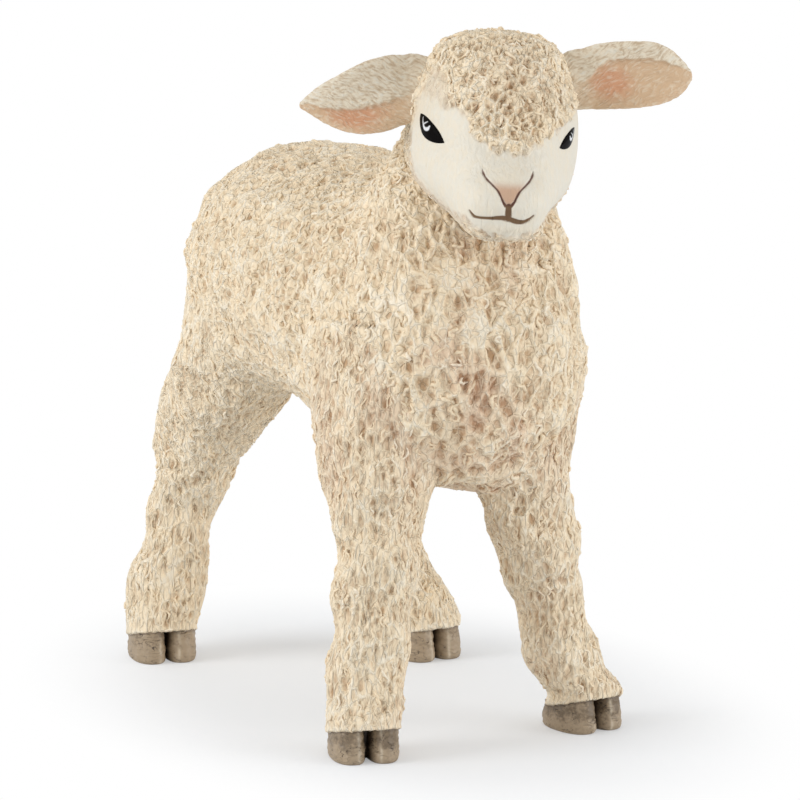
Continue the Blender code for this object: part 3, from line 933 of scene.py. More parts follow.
@dataclass(frozen=True)
class CurlFinish(WoolFinish):
    """Painted curls: cream on the crest, tan down the sides, and darker where the wash and the painted shade lie."""

    depth: float = 0.10

    def made(self, name: str) -> Material:
        """The material.

        Args:
            name: Name of the material.

        Returns:
            The material.
        """
        paint = Paint(name, self.roughness)
        place = paint.place()
        tone, crest, wash_and_shade = (paint.mark(word) for word in ("tone", "crest", "wash_and_shade"))
        grain = paint.noise(place, self.grains, 2.0)
        top = paint.mix(tone.step(0.45, 1.0), self.colours.cream, self.colours.pale)
        under = self.hollow(paint, paint.noise(place, self.patches, 2.0), wash_and_shade)
        # The painter's wash and the painted shade of the skin below darken the curl.
        height = crest - wash_and_shade * 0.35 + (grain - 0.5) * 1.1
        return paint.finish(paint.mix(height.step(0.0, 0.9), under, top), grain, self.depth)


@dataclass(frozen=True)
class FaceFinish:
    """Off-white face with fine hair, painted nostril and mouth lines, and fleece where the wool cap begins."""

    colours: Palette = Palette()
    roughness: float = 0.5
    depth: float = 0.15

    def made(self, name: str) -> Material:
        """The material.

        Args:
            name: Name of the material.

        Returns:
            The material.
        """
        paint = Paint(name, self.roughness)
        place = paint.place()
        hair = paint.noise(paint.stretched(place, (4.6, 3.0, 1.5)), 1.0, 2.0, 0.6)
        cloud = paint.noise(place, 0.9, 2.0)
        wool, line, blush, stem = (paint.mark(word) for word in ("wool", "line", "blush", "stem"))
        fleece, rough = FleeceFinish(self.colours, stretch=(1.2, 1.2, 0.8)).coat(paint, place)
        skin = paint.mix((hair * 0.6 + cloud * 0.4).step(0.38, 0.6), self.colours.shade, self.colours.white)
        skin = paint.mix(0.45, skin, self.colours.white)
        skin = paint.mix((paint.mark("shade") + (hair - 0.5) * 0.5).step(0.1, 1.0), skin, self.colours.shade)
        skin = paint.mix(blush, skin, self.colours.blush)
        ink = paint.mix(stem, self.colours.line, self.colours.lip)
        colour = paint.mix(line, paint.mix(wool, skin, fleece), ink)
        return paint.finish(colour, hair * (1 - wool) * 0.6 + rough * wool, self.depth)


@dataclass(frozen=True)
class EarFinish:
    """Sand and peach inside the ear and off-white outside, with hair streaks on both and painted shade in sand at the
    root.
    """

    colours: Palette = Palette()
    slant: float = 0.5
    roughness: float = 0.55
    depth: float = 0.10

    def made(self, name: str) -> Material:
        """The material.

        Args:
            name: Name of the material.

        Returns:
            The material.
        """
        paint = Paint(name, self.roughness)
        place = paint.place()
        inner, deep, root = (paint.mark(word) for word in ("inner", "deep", "root"))
        along = {"rotation_type": "Y_AXIS"}
        turned = paint.node("ShaderNodeVectorRotate", along, {"Vector": place, "Angle": self.slant}).outputs[0]
        hair = paint.noise(paint.stretched(paint.bent(turned, 0.8, 0.4), (2.0, 3.2, 7.0)), 1.0, 2.0)
        speck = paint.noise(place, 2.4, 2.0)
        outside = paint.mix(hair.step(0.25, 0.62), self.colours.dun, self.colours.shade)
        outside = paint.mix(hair.step(0.52, 0.80), outside, self.colours.white)
        # Painted shade: sand towards the ear's root and its lower side.
        outside = paint.mix((root + (speck - 0.5) * 0.5).step(0.2, 1.1) * 0.5, outside, self.colours.sand)
        inside = paint.mix((deep + (speck - 0.5) * 0.7).step(0.0, 0.9), self.colours.sand, self.colours.peach)
        inside = paint.mix(hair.step(0.46, 0.72) * 0.5, inside, self.colours.shade)
        return paint.finish(paint.mix(inner, outside, inside), hair, self.depth)


@dataclass(frozen=True)
class HoofFinish:
    """Taupe horn with fine cracks, painted shade in the cleft, a painted shadow under the fleece's hem and a painted
    highlight on the claws' rims.
    """

    colours: Palette = Palette()
    roughness: float = 0.45
    depth: float = 0.10

    def made(self, name: str) -> Material:
        """The material.

        Args:
            name: Name of the material.

        Returns:
            The material.
        """
        paint = Paint(name, self.roughness)
        place = paint.place()
        flat = paint.stretched(place, (1.0, 1.0, 2.2))
        crack = paint.ridges(flat, 1.0, 0.014, 1.5) * paint.noise(place, 0.9, 1.0).step(0.45, 0.58)
        cloud = paint.noise(place, 1.1, 3.0)
        speck = paint.noise(place, 5.0, 2.0)
        # Paler stone towards the sole, and painted light on the rear hooves.
        paler = cloud * 0.6 + speck * 0.4 + paint.mark("paler") * 0.22
        horn = paint.mix(paler.step(0.42, 0.70), self.colours.taupe, self.colours.stone)
        horn = paint.mix(crack * 0.85, horn, self.colours.cleft)
        # Painted highlight: a pale rim along the claws where they turn into the cleft.
        horn = paint.mix(paint.mark("edge") * cloud.step(0.40, 0.60) * 0.45, horn, self.colours.shade)
        # Painted shade in the cleft and painted shadow under the fleece's hem.
        colour = paint.mix(paint.mark("cleft"), horn, self.colours.cleft)
        return paint.finish(colour, cloud * 0.5 + speck * 0.4 - crack, self.depth)


@dataclass(frozen=True)
class EyeFinish:
    """Black with a small pale highlight."""

    black: tuple = (0.002, 0.0015, 0.0015)
    paler: tuple = (0.006, 0.005, 0.005)
    highlight: tuple = (0.74, 0.75, 0.77)
    roughness: float = 0.32
    specular: float = 0.02

    def made(self, name: str) -> Material:
        """The material.

        Args:
            name: Name of the material.

        Returns:
            The material.
        """
        paint = Paint(name, self.roughness, Specular_IOR_Level=self.specular)
        speck = paint.noise(paint.place(), 4.0, 2.0)
        return paint.finish(paint.mix(paint.mark("glint"), paint.mix(speck, self.black, self.paler), self.highlight))


def made_finishes() -> dict[str, Material]:
    """The lamb's finishes, by name."""
    return {
        "fleece": FleeceFinish().made("painted_fleece"),
        "leg_fleece": FleeceFinish(stretch=(1.35, 1.35, 0.5)).made("painted_leg_fleece"),
        "curl": CurlFinish().made("painted_curls"),
        "face": FaceFinish().made("painted_face"),
        "eye": EyeFinish().made("gloss_eye"),
        "ear_left": EarFinish().made("painted_left_ear"),
        "ear_right": EarFinish(slant=-0.4).made("painted_right_ear"),
        "horn": HoofFinish().made("painted_horn"),
    }


# ---------------------------------------------------------------- body


@dataclass
class ProfileBody:
    """A body drawn in side view by its back line and its belly line, with oval sections.

    A section holds the top point (y, z) and the bottom point (y, z) as shares of the length and the height, the
    half width as a share of the width, and the level at which it is widest.
    """

    length: float
    height: float
    width: float
    sections: Table

    def rings(self, places: Array, columns: int) -> Array:
        """Oval rings at places in the table of sections.

        Args:
            places: Places in the table.
            columns: Points round a ring.

        Returns:
            Points, as rings by columns by 3.
        """
        rows = table_at(self.sections, places)
        flat = np.zeros(len(rows))
        high = np.stack([flat, rows[:, 0] * self.length, rows[:, 1] * self.height], axis=1)
        low = np.stack([flat, rows[:, 2] * self.length, rows[:, 3] * self.height], axis=1)
        side = np.stack([rows[:, 4] * self.width, flat, flat], axis=1)
        return oval_rings(low, high, side, rows[:, 5], columns)

    def scale(self) -> tuple:
        """Length of each column of the table that counts as movement."""
        return self.length, self.height, self.length, self.height, 0.0, 0.0

    def distance(self, points: Array) -> Array:
        """How far points are outside the body, negative inside, along the line to the middle of their section.

        A point's section is the one whose plane passes through it: the sign of the cross product changes there.

        Args:
            points: Places in the body's own frame.

        Returns:
            One distance for each place, FAR where no section passes.
        """
        rows = table_at(self.sections, np.linspace(0, len(self.sections) - 1, PROFILE_CUTS))
        high = rows[:, 0:2] * [self.length, self.height]
        low = rows[:, 2:4] * [self.length, self.height]
        flat = points.reshape(-1, 3)
        yz = flat[:, None, 1:] - low[None]
        line = (high - low)[None]
        side = line[..., 0] * yz[..., 1] - line[..., 1] * yz[..., 0]
        turned = side[:, :-1] * side[:, 1:] <= 0
        change = side[:, :-1] - side[:, 1:]
        here = np.clip(side[:, :-1] / np.where(np.abs(change) < TINY, TINY, change), 0, 1)[..., None]
        base = low[None, :-1] * (1 - here) + low[None, 1:] * here
        top = high[None, :-1] * (1 - here) + high[None, 1:] * here
        half = rows[:-1, 4] * (1 - here[..., 0]) + rows[1:, 4] * here[..., 0]
        widest = rows[:-1, 5] * (1 - here[..., 0]) + rows[1:, 5] * here[..., 0]
        rise = ((flat[:, None, 1:] - base) * (top - base)).sum(-1) / ((top - base) ** 2).sum(-1)
        level = np.where(rise > widest, (rise - widest) / (1 - widest), (rise - widest) / widest)
        reach = np.sqrt(level**2 + (flat[:, None, 0] / (half * self.width)) ** 2)
        middle = base + widest[..., None] * (top - base)
        away = np.sqrt(((flat[:, None, 1:] - middle) ** 2).sum(-1) + flat[:, None, 0] ** 2)
        gap = np.where(turned, away * (1 - 1 / np.maximum(reach, 1e-3)), FAR)
        return gap.min(axis=1).reshape(points.shape[:-1])


@dataclass
class Column:
    """A limb that stands or hangs: level oval sections, the lowest of which may follow the slope of a hoof.

    A section holds its middle (x, y, z), half width and half depth in millimetres, and how much it slopes.
    """

    sections: Table
    heading: float = 0.0
    slope: float = 0.0
    foot: tuple[float, float] = (0.0, 0.0)

    def rings(self, places: Array, columns: int) -> Array:
        """Oval rings at places in the table of sections.

        Args:
            places: Places in the table.
            columns: Points round a ring.

        Returns:
            Points, as rings by columns by 3.
        """
        rows = table_at(self.sections, places)
        angle = round_angles(columns)
        x = rows[:, 0:1] + rows[:, 3:4] * np.cos(angle)
        y = rows[:, 1:2] + rows[:, 4:5] * np.sin(angle)
        ahead = (y - self.foot[1]) * math.cos(self.heading) - (x - self.foot[0]) * math.sin(self.heading)
        return np.stack([x, y, rows[:, 2:3] - rows[:, 5:6] * self.slope * ahead], axis=-1)

    def lumpy_rings(self, step: float, columns: int) -> Array:
        """Rings about a step apart, with the solids' lumps of fleece."""
        places = even_places(self.sections, (1, 1, 1, 0, 0, 0), step)
        return waved(self.rings(places, columns))

    def distance(self, points: Array) -> Array:
        """How far points are outside the limb at their own level, negative inside, and FAR above or below it.

        Args:
            points: Places in the lamb's frame.

        Returns:
            One distance for each place.
        """
        rows = table_at(self.sections, np.linspace(0, len(self.sections) - 1, COLUMN_CUTS))
        order = np.argsort(rows[:, 2])
        z = rows[order, 2]
        x, y, a, b = (np.interp(points[..., 2], z, rows[order, k]) for k in (0, 1, 3, 4))
        dx, dy = points[..., 0] - x, points[..., 1] - y
        reach = np.maximum(np.sqrt((dx / a) ** 2 + (dy / b) ** 2), 1e-3)
        gap = np.hypot(dx, dy) * (1 - 1 / reach)
        outside = np.maximum(z[0] - points[..., 2], points[..., 2] - z[-1])
        return np.where(outside > 0, FAR, gap)


def fillet(gap: Array, radius: float) -> Array:
    """How far a skin swells near another: the square of what is missing of the radius, over four radii."""
    near = np.clip(1 - gap / radius, 0, 1)
    return near**2 * radius / 4


@dataclass(frozen=True)
class Relief:
    """Moulded relief of the fleece: a net of ridges round pits, which are the cells of scattered points.

    Noise bends the places at which the cells are read, so that the net winds, and a finer net crosses the pits. The
    relief is sunk, so that the crests of the curls on it reach the outline of the solid below.
    """

    seed: int
    stretch: tuple = (1.0, 1.0, 0.85)
    cell: float = 0.96
    lump: float = 0.07
    ridge: float = 0.33
    sink: float = 0.24
    bend: float = 0.32
    finer: float = 1.8
    lump_length: float = 2.4

    def read(self, points: Array) -> tuple[Array, Array]:
        """Height of the relief and how near a ridge each point is, from 0 to 1.

        Args:
            points: Places in the lamb's frame.

        Returns:
            The height and the nearness.
        """
        drawn = points * np.array(self.stretch) / self.cell
        bends = [gradient_noise(drawn * 0.9, self.seed + 3 + k) for k in range(3)]
        drawn = drawn + self.bend * np.stack(bends, axis=-1)
        walls = cell_walls(drawn, self.seed + 1)
        fine = np.exp(-((cell_walls(drawn * self.finer, self.seed + 2) / 0.40) ** 2))
        crest = np.maximum(np.exp(-((walls / 0.30) ** 2)), 0.6 * fine)
        bowl = self.ridge * (crest - 0.3 * smoothstep(0.2, 1.1, walls))
        return self.lump * gradient_noise(points / self.lump_length, self.seed) + bowl - self.sink, crest

    def press(
        self, skin: Skin, share: Array | float = 1.0, other: "Relief | None" = None, part: Array | float = 0.0
    ) -> None:
        """Presses the relief into a skin and marks its crests.

        Args:
            skin: The skin.
            share: Share of the height at each point.
            other: A second relief, which takes over where its part is 1.
            part: Part of the second relief at each point.
        """
        height, crest = self.read(skin.points)
        if other is not None:
            second_height, second_crest = other.read(skin.points)
            height, crest = height + (second_height - height) * part, crest + (second_crest - crest) * part
        skin.swell(height * share)
        skin.marks["crest"] = crest * share


@dataclass
class Torso(ProfileBody):
    """Barrel, chest and neck in one skin, with their curls."""

    length: float = 40.0
    height: float = 37.0
    width: float = 20.0
    sections: Table = (
        (0.445, 0.830, 0.455, 0.760, 0.100, 0.50), (0.420, 0.905, 0.430, 0.665, 0.240, 0.50),
        (0.360, 0.962, 0.362, 0.600, 0.370, 0.50), (0.260, 0.995, 0.245, 0.575, 0.450, 0.50),
        (0.125, 1.006, 0.110, 0.555, 0.490, 0.50), (-0.025, 0.998, -0.065, 0.530, 0.495, 0.50),
        (-0.140, 1.005, -0.240, 0.475, 0.470, 0.50), (-0.205, 1.040, -0.390, 0.475, 0.425, 0.48),
        (-0.240, 1.085, -0.475, 0.575, 0.375, 0.46), (-0.258, 1.130, -0.492, 0.720, 0.325, 0.45),
        (-0.270, 1.155, -0.462, 0.845, 0.275, 0.45), (-0.290, 1.165, -0.430, 0.935, 0.215, 0.45),
        (-0.335, 1.150, -0.405, 1.010, 0.120, 0.45),
    )
    step: float = 0.10
    columns: int = 460
    blend: float = 2.4
    coat: Relief = Relief(11)
    breast_coat: Relief = Relief(16, stretch=(1.0, 1.0, 0.55), cell=1.2, lump=0.10, ridge=0.36, sink=0.30)
    barrel_curls: Curls = Curls(0.9, (0.5, 1.1), (0.085, 0.125), turn=3.0, wave=0.7, lift=-0.15)
    chest_curls: Curls = Curls(1.1, (0.6, 1.3), (0.09, 0.15), turn=2.6, lie=Lie.COMBED, lift=-0.05)

    def wash_and_shade(self, points: Array) -> Array:
        """How dark the painter's wash and the painted shade lie: painted shade under the belly, low on the chest and
        at the throat, in patches, and the wash in loose patches.

        Args:
            points: Places in the lamb's frame.

        Returns:
            The share of wash at each place.
        """
        under = smoothstep(23.0, 17.5, points[..., 2])
        chest = mound(points, (-1.5, -18.0, 23.5), (3.6, 6.0, 5.0), 0.62, mirrored=False)
        throat = mound(points, (0.0, -19.0, 34.0), (3.5, 3.0, 2.2), 0.45, mirrored=False)
        patch = gradient_noise(points / 2.6, 15)
        return np.clip(0.25 * under + (chest + throat) * (0.85 + 0.9 * patch) + 0.16 * patch, 0, 1)

    def build(self, studio: Studio, limbs: list[Column], head: "Head") -> None:
        """Builds the skin and its curls.

        Args:
            studio: The mesh maker.
            limbs: Legs and tail, towards which the skin swells in a fillet.
            head: The head, inside which no curls grow.
        """
        rings = waved(self.rings(even_places(self.sections, self.scale(), self.step), self.columns))
        rump = rounded_end(rings[0], (0, 1, -0.2), 0.5, 6)[::-1]
        skin = Skin(np.concatenate([rump, rings]))
        gap = np.stack([limb.distance(skin.points) for limb in limbs]).min(axis=0)
        skin.swell(fillet(gap, self.blend))
        skin.marks["wash_and_shade"] = self.wash_and_shade(skin.points)
        x, y, z = np.moveaxis(skin.points, 2, 0)
        breast = smoothstep(-9.5, -14.0, y) * smoothstep(40.0, 34.0, z)
        self.coat.press(skin, 1.0, self.breast_coat, breast)
        for band, word in zip(skin.bands(3), ("rear", "middle", "front")):
            studio.piece("torso_fleece_" + word, band.solid(), "fleece", ("torso",))
        inside_head = np.concatenate([head.outside(part) for part in np.array_split(skin.points, 6)])
        free = smoothstep(-0.5, -0.2, np.minimum(gap, inside_head)) * (1 - 0.45 * breast)
        front, rear = y < -6.5, y > 7.0
        size = 1 + 0.25 * breast
        for number, (word, side) in enumerate((("right", x < 0), ("left", x >= 0))):
            studio.crop("rump_curls_" + word, self.barrel_curls, skin, 21 + number, free * rear * side)
            studio.crop("barrel_curls_" + word, self.barrel_curls, skin, 23 + number, free * ~front * ~rear * side)
            studio.crop("chest_curls_" + word, self.chest_curls, skin, 25 + number, free * front * side, size)


@dataclass
class Head(ProfileBody):
    """Skull, cheeks and muzzle in one skin, with the wool cap's curls and the two eyes.

    Its place is a share of the torso's width, length and height. The edges of the cap and the jaw are heights over
    the way across, the temple's edge is the way across over the height, and the fringe's is the way along over the
    height. Nostril, stem and mouth are drawn in front view, with their half width. The crescent and the dash of the
    eyes' highlight are drawn in shares of the eye's length. Forms and tones hold a middle, a spread and a height.
    The muzzle lies in front of its value along the head, and the drawn lines are sunk by the groove. A lid holds its
    height and the powers of the way from the outer and the inner corner, and the lens of an eye holds the heights of
    its hidden edge and of its rim, and how far it rises from there.
    """

    length: float = 15.0
    height: float = 13.2
    width: float = 11.2
    place: tuple = (0.070 * 20.0, -0.370 * 40.0, 1.125 * 37.0)
    yaw: float = math.radians(-20.0)
    roll: float = math.radians(4.0)
    left_eye: Table = ((5.22, -2.75, 0.55), (4.05, -5.50, -0.42))
    right_eye: Table = ((-5.15, -2.55, 0.90), (-3.88, -5.80, -0.46))
    sections: Table = (
        (0.280, 0.110, 0.285, -0.040, 0.140, 0.50), (0.225, 0.300, 0.250, -0.230, 0.360, 0.50),
        (0.080, 0.455, 0.145, -0.370, 0.460, 0.50), (-0.090, 0.485, 0.000, -0.450, 0.505, 0.43),
        (-0.250, 0.415, -0.150, -0.470, 0.460, 0.42), (-0.385, 0.270, -0.290, -0.475, 0.395, 0.42),
        (-0.495, 0.095, -0.410, -0.480, 0.340, 0.42), (-0.580, -0.045, -0.510, -0.485, 0.290, 0.44),
        (-0.640, -0.125, -0.595, -0.480, 0.250, 0.46), (-0.685, -0.185, -0.655, -0.455, 0.190, 0.50),
        (-0.705, -0.250, -0.690, -0.400, 0.090, 0.50),
    )
    cap_edge: Table = (
        (-5.60, 2.60), (-5.04, 2.26), (-4.02, 1.68), (-3.27, 1.62), (-2.65, 1.45), (-2.35, 0.80), (-2.15, 0.25),
        (-1.80, -0.15), (-1.20, -0.36), (-0.52, -0.46), (0.00, -0.52), (0.80, -0.52), (1.50, -0.40), (2.05, -0.10),
        (2.60, 0.30), (3.30, 0.62), (3.98, 0.95), (4.57, 1.30), (5.09, 1.78), (5.60, 2.30),
    )
    jaw_edge: Table = (
        (-5.60, -3.20), (-4.60, -4.10), (-3.65, -4.52), (-3.24, -4.60), (-2.54, -4.80), (-1.64, -5.28),
        (-1.09, -5.60), (0.03, -5.84), (0.97, -5.62), (1.50, -5.38), (2.30, -5.05), (3.20, -4.80), (4.20, -4.50),
        (5.60, -3.90),
    )
    temple: Table = (
        (1.50, -2.0), (2.04, -3.20), (3.37, -3.50), (4.20, -4.10), (5.30, -4.60),
    )
    fringe: Table = (
        (-6.4, -8.8), (-5.5, -8.3), (-5.0, -6.2), (-4.3, -4.4), (-3.3, -2.8), (-1.8, -1.6), (0.0, -1.0), (4.0, -0.9),
    )
    nostril: Table = (
        (1.66, -1.56, 0.02), (1.60, -1.80, 0.055), (1.42, -2.08, 0.06), (1.16, -2.30, 0.05), (0.88, -2.55, 0.055),
        (0.66, -2.80, 0.06), (0.50, -3.10, 0.06), (0.36, -3.38, 0.07), (0.16, -3.66, 0.10),
    )
    stem: Table = (
        (0.03, -3.66, 0.17), (0.03, -4.00, 0.20), (0.05, -4.42, 0.19),
    )
    mouth: Table = (
        (-2.42, -4.18, 0.03), (-2.25, -4.40, 0.07), (-2.00, -4.56, 0.09), (-1.31, -4.56, 0.085), (-0.46, -4.46, 0.14),
        (0.09, -4.52, 0.16), (0.65, -4.66, 0.15), (1.10, -4.68, 0.12), (1.45, -4.52, 0.08), (1.76, -4.26, 0.04),
    )
    crescent: Table = (
        (0.17, 0.02, 0.007), (0.272, -0.055, 0.02), (0.39, -0.09, 0.03), (0.48, -0.045, 0.036), (0.495, 0.015, 0.02),
    )
    dash: Table = (
        (0.32, -0.03, 0.016), (0.382, 0.045, 0.010),
    )

    forms: tuple = (
        ((4.7, -3.3, -2.9), (1.5, 2.0, 1.5), 0.42),  # cheeks
        ((4.1, -4.6, 1.45), (1.0, 0.9, 0.6), 0.16),  # brows
        ((3.9, -5.6, -0.2), (0.7, 0.9, 0.9), -0.16),  # hollows in front of the eyes
        ((0.0, -9.6, -2.4), (0.8, 1.0, 0.7), 0.14),  # pad of the nose
        ((0.95, -10.3, -3.75), (0.62, 1.0, 0.52), 0.20),  # upper lips
        ((0.0, -10.1, -5.3), (0.9, 0.8, 0.42), 0.16),  # chin
        ((2.1, -9.3, -2.9), (0.6, 0.9, 0.6), 0.12),  # wings of the nostrils
        ((3.4, -0.6, 5.3), (1.2, 1.6, 1.1), 0.34),  # humps of the crown
        ((0.0, -0.6, 6.4), (1.3, 2.0, 0.8), -0.12),  # dip between the humps
        ((3.4, -8.0, -4.9), (1.0, 2.0, 0.9), -0.28, False),  # left side of the jaw, pared
        ((4.8, -4.4, -1.3), (1.6, 2.4, 1.5), -0.34, False),  # left cheek, pared
        ((0.0, -9.4, -6.4), (1.8, 1.6, 0.7), -0.22),  # under the chin
    )
    tones: tuple = (
        ((2.5, -9.4, -4.3), (0.5, 0.9, 0.4), 0.45),  # corners of the mouth
        ((0.7, -10.0, -5.25), (0.9, 0.8, 0.30), 0.75),  # crease of the chin
        ((0.0, -9.8, -2.0), (0.9, 1.0, 0.6), 0.45),  # bridge of the nose
        ((1.0, -10.2, -3.9), (0.6, 1.0, 0.35), 0.35),  # upper lips
        ((5.4, -1.0, 1.2), (1.2, 1.2, 1.2), 0.6),  # temples
    )
    faint_wool: tuple = (
        ((0.4, -8.6, -1.1), (1.5, 1.6, 0.9), 0.30, False),  # over the nose
        ((0.3, -9.6, -5.7), (1.8, 1.6, 0.5), 0.35, False),  # under the mouth
    )
    forelock_wash: tuple = ((0.3, -4.0, 2.5), (2.6, 3.0, 2.6), 1.0, False)
    muzzle: float = -8.3
    groove: float = 0.07
    eye_grid: tuple[int, int] = (44, 96)
    lids: Table = ((0.40, 1.0, 1.15), (-0.66, 0.68, 0.9))
    lens: tuple[float, float, float] = (-0.10, 0.03, 0.12)
    steps: tuple[float, float] = (0.12, 0.055)
    columns: int = 352
    coat: Relief = Relief(31, stretch=(1.3, 1.3, 0.6), cell=0.86, lump=0.12, ridge=0.36, sink=0.14)
    cap_curls: Curls = Curls(1.7, (0.6, 1.2), (0.09, 0.14), turn=2.4, lie=Lie.COMBED, lift=0.0)

    def frame(self) -> Array:
        """The head's turn: its yaw, then its roll."""
        return np.array(Matrix.Rotation(self.yaw, 3, "Z") @ Matrix.Rotation(self.roll, 3, "Y"))

    def outward(self, points: Array) -> Array:
        """Places of the head's frame in the lamb's frame."""
        return points @ self.frame().T + np.array(self.place)

    def inward(self, points: Array) -> Array:
        """Places of the lamb's frame in the head's frame."""
        return (points - np.array(self.place)) @ self.frame()

    def outside(self, points: Array) -> Array:
        """How far places of the lamb's frame are outside the head."""
        return self.distance(self.inward(points))

    def wool(self, points: Array, fade: float = 0.2) -> Array:
        """Where the wool grows: 1 on the cap, behind the cheeks and under the jaw, and 0 on the face.

        Args:
            points: Places in the head's frame.
            fade: Half width of the soft edge.

        Returns:
            The share of wool at each place.
        """
        x, y, z = np.moveaxis(points, -1, 0)
        cap = z - np.interp(x, *np.array(self.cap_edge).T)
        back = y - np.interp(z, *np.array(self.fringe).T)
        back = back - 1.8 * smoothstep(1.5, 4.0, x) + 0.7 * smoothstep(-2.5, -4.0, x)
        under = np.interp(x, *np.array(self.jaw_edge).T) - z
        ragged = 0.45 * gradient_noise(points / 0.7, 5)
        thin = smoothstep(0.3, -1.0, x - np.interp(z, *np.array(self.temple).T)) * smoothstep(-0.8, -2.4, y)
        return smoothstep(-fade, fade, np.maximum.reduce([cap, back, under]) + ragged) * (1 - 0.6 * thin)

    def lines(self, points: Array) -> Array:
        """Distance from the painted nostrils, stem and mouth, and FAR away from the muzzle.

        Args:
            points: Places in the head's frame.

        Returns:
            One distance for each place.
        """
        x, y, z = np.moveaxis(points, -1, 0)
        right = tuple((-across, up, half) for across, up, half in self.nostril)
        gaps = [stroke_distance(x, z, softened(line)) for line in (self.nostril, right, self.stem, self.mouth)]
        return np.where(y < self.muzzle, np.minimum.reduce(gaps) + 0.02 * gradient_noise(points * 3.0, 9), FAR)

    def blush(self, points: Array) -> Array:
        """Where the nose is flushed: inside the V of the nostrils, more so towards its foot.

        Args:
            points: Places in the head's frame.

        Returns:
            The share of blush at each place.
        """
        x, y, z = np.moveaxis(points, -1, 0)
        inside = smoothstep(0.0, 0.2, 0.16 + 0.72 * np.maximum(z + 3.66, 0) - np.abs(x))
        return inside * smoothstep(-3.7, -3.5, z) * smoothstep(-2.0, -2.7, z) * (y < self.muzzle)

    def build(self, studio: Studio) -> None:
        """Builds the head's skin, its curls and its eyes.

        Args:
            studio: The mesh maker.
        """
        back = even_places(self.sections, self.scale(), self.steps[0], 0.0, 5.0)
        front = even_places(self.sections, self.scale(), self.steps[1], 5.0)[1:]
        rings = self.rings(np.concatenate([back, front]), self.columns)
        nape = rounded_end(rings[0], (0, 1, 0), 0.5, 8)[::-1]
        lips = rounded_end(rings[-1], (0, -1, 0), 0.12, 22)
        skin = Skin(np.concatenate([nape, rings, lips]))
        skin.swell(mounds(skin.points, self.forms))
        formed = skin.points
        wool, line, z = self.wool(formed), self.lines(formed), formed[..., 2]
        # The wash mark: painted shade that darkens towards the jaw, and the painter's wash on the forelock.
        skin.marks["wash_and_shade"] = 0.35 * smoothstep(0.0, -5.0, z) + 0.45 * mound(formed, *self.forelock_wash)
        self.coat.press(skin, np.clip(wool + mounds(formed, self.faint_wool), 0, 1))
        skin.swell(-self.groove * smoothstep(0.10, -0.03, line))
        skin.marks["wool"] = wool
        skin.marks["line"] = smoothstep(0.045, -0.025, line)
        skin.marks["stem"] = smoothstep(-3.5, -3.8, z)
        skin.marks["blush"] = self.blush(formed)
        skin.marks["shade"] = mounds(skin.points, self.tones)
        size = 0.6 + 0.4 * smoothstep(0.3, 1.0, self.wool(skin.points, 0.9))
        skin.points = self.outward(skin.points)
        studio.piece("head_skin", skin.solid(), "face", ("head",))
        studio.crop("head_curls", self.cap_curls, skin, 41, smoothstep(0.2, 0.9, wool), size)
        for word, corners in (("left", self.left_eye), ("right", self.right_eye)):
            studio.piece("eye_gloss_" + word, self.eye(skin, corners), "eye", ("eye_" + word,))

    def eye(self, skin: Skin, corners: Table) -> Solid:
        """An almond drawn from corner to corner and laid on the face as a low lens.

        Both edges are fullest a little nearer to the outer corner: each is a power of the way from that corner times
        a power of the rest of the way. The lens stands highest in the middle.

        Args:
            skin: The head's skin, in the lamb's frame.
            corners: The outer and the inner corner, in the head's frame.

        Returns:
            The eye, with its highlight marked.
        """
        outer, inner = (self.outward(np.array(corner)) for corner in corners)
        long, axis, middle = np.linalg.norm(inner - outer), unit(inner - outer), (outer + inner) / 2
        nearest = np.unravel_index(np.argmin(((skin.points - middle) ** 2).sum(-1)), skin.points.shape[:2])
        normal = skin.normals()[nearest]
        over = unit(np.cross(normal, axis))
        over = over * np.sign(over[2])
        turn = round_angles(self.eye_grid[1])
        way = 0.5 - 0.5 * np.cos(turn)
        upper, lower = (height * way**near * (1 - way) ** far for height, near, far in self.lids)
        rim = np.where(np.sin(turn) >= 0, upper, lower)
        reach = np.linspace(1.04, 0.04, self.eye_grid[0])[:, None]
        along = (0.5 + (way - 0.5) * reach) * long
        above = rim * reach * long
        targets = outer + along[..., None] * axis + above[..., None] * over
        row, column = (np.full(along.shape, float(number)) for number in nearest)
        place, facing = skin.settle(targets, row, column, 6)
        hidden, low, rise = self.lens
        dome = np.where(reach > 1, hidden, low + rise * (1 - np.minimum(reach, 1) ** 2))
        points = place + facing * dome[..., None]
        lens = Skin(np.concatenate([points[:1] - normal * 0.3, points]))
        gaps = [stroke_distance(along / long, above / long, softened(line)) for line in (self.crescent, self.dash)]
        glint = smoothstep(0.008, -0.012, np.minimum.reduce(gaps))
        lens.marks["glint"] = np.concatenate([np.zeros_like(glint[:1]), glint])
        return lens.solid()


# ---------------------------------------------------------------- ears, legs, hooves and tail


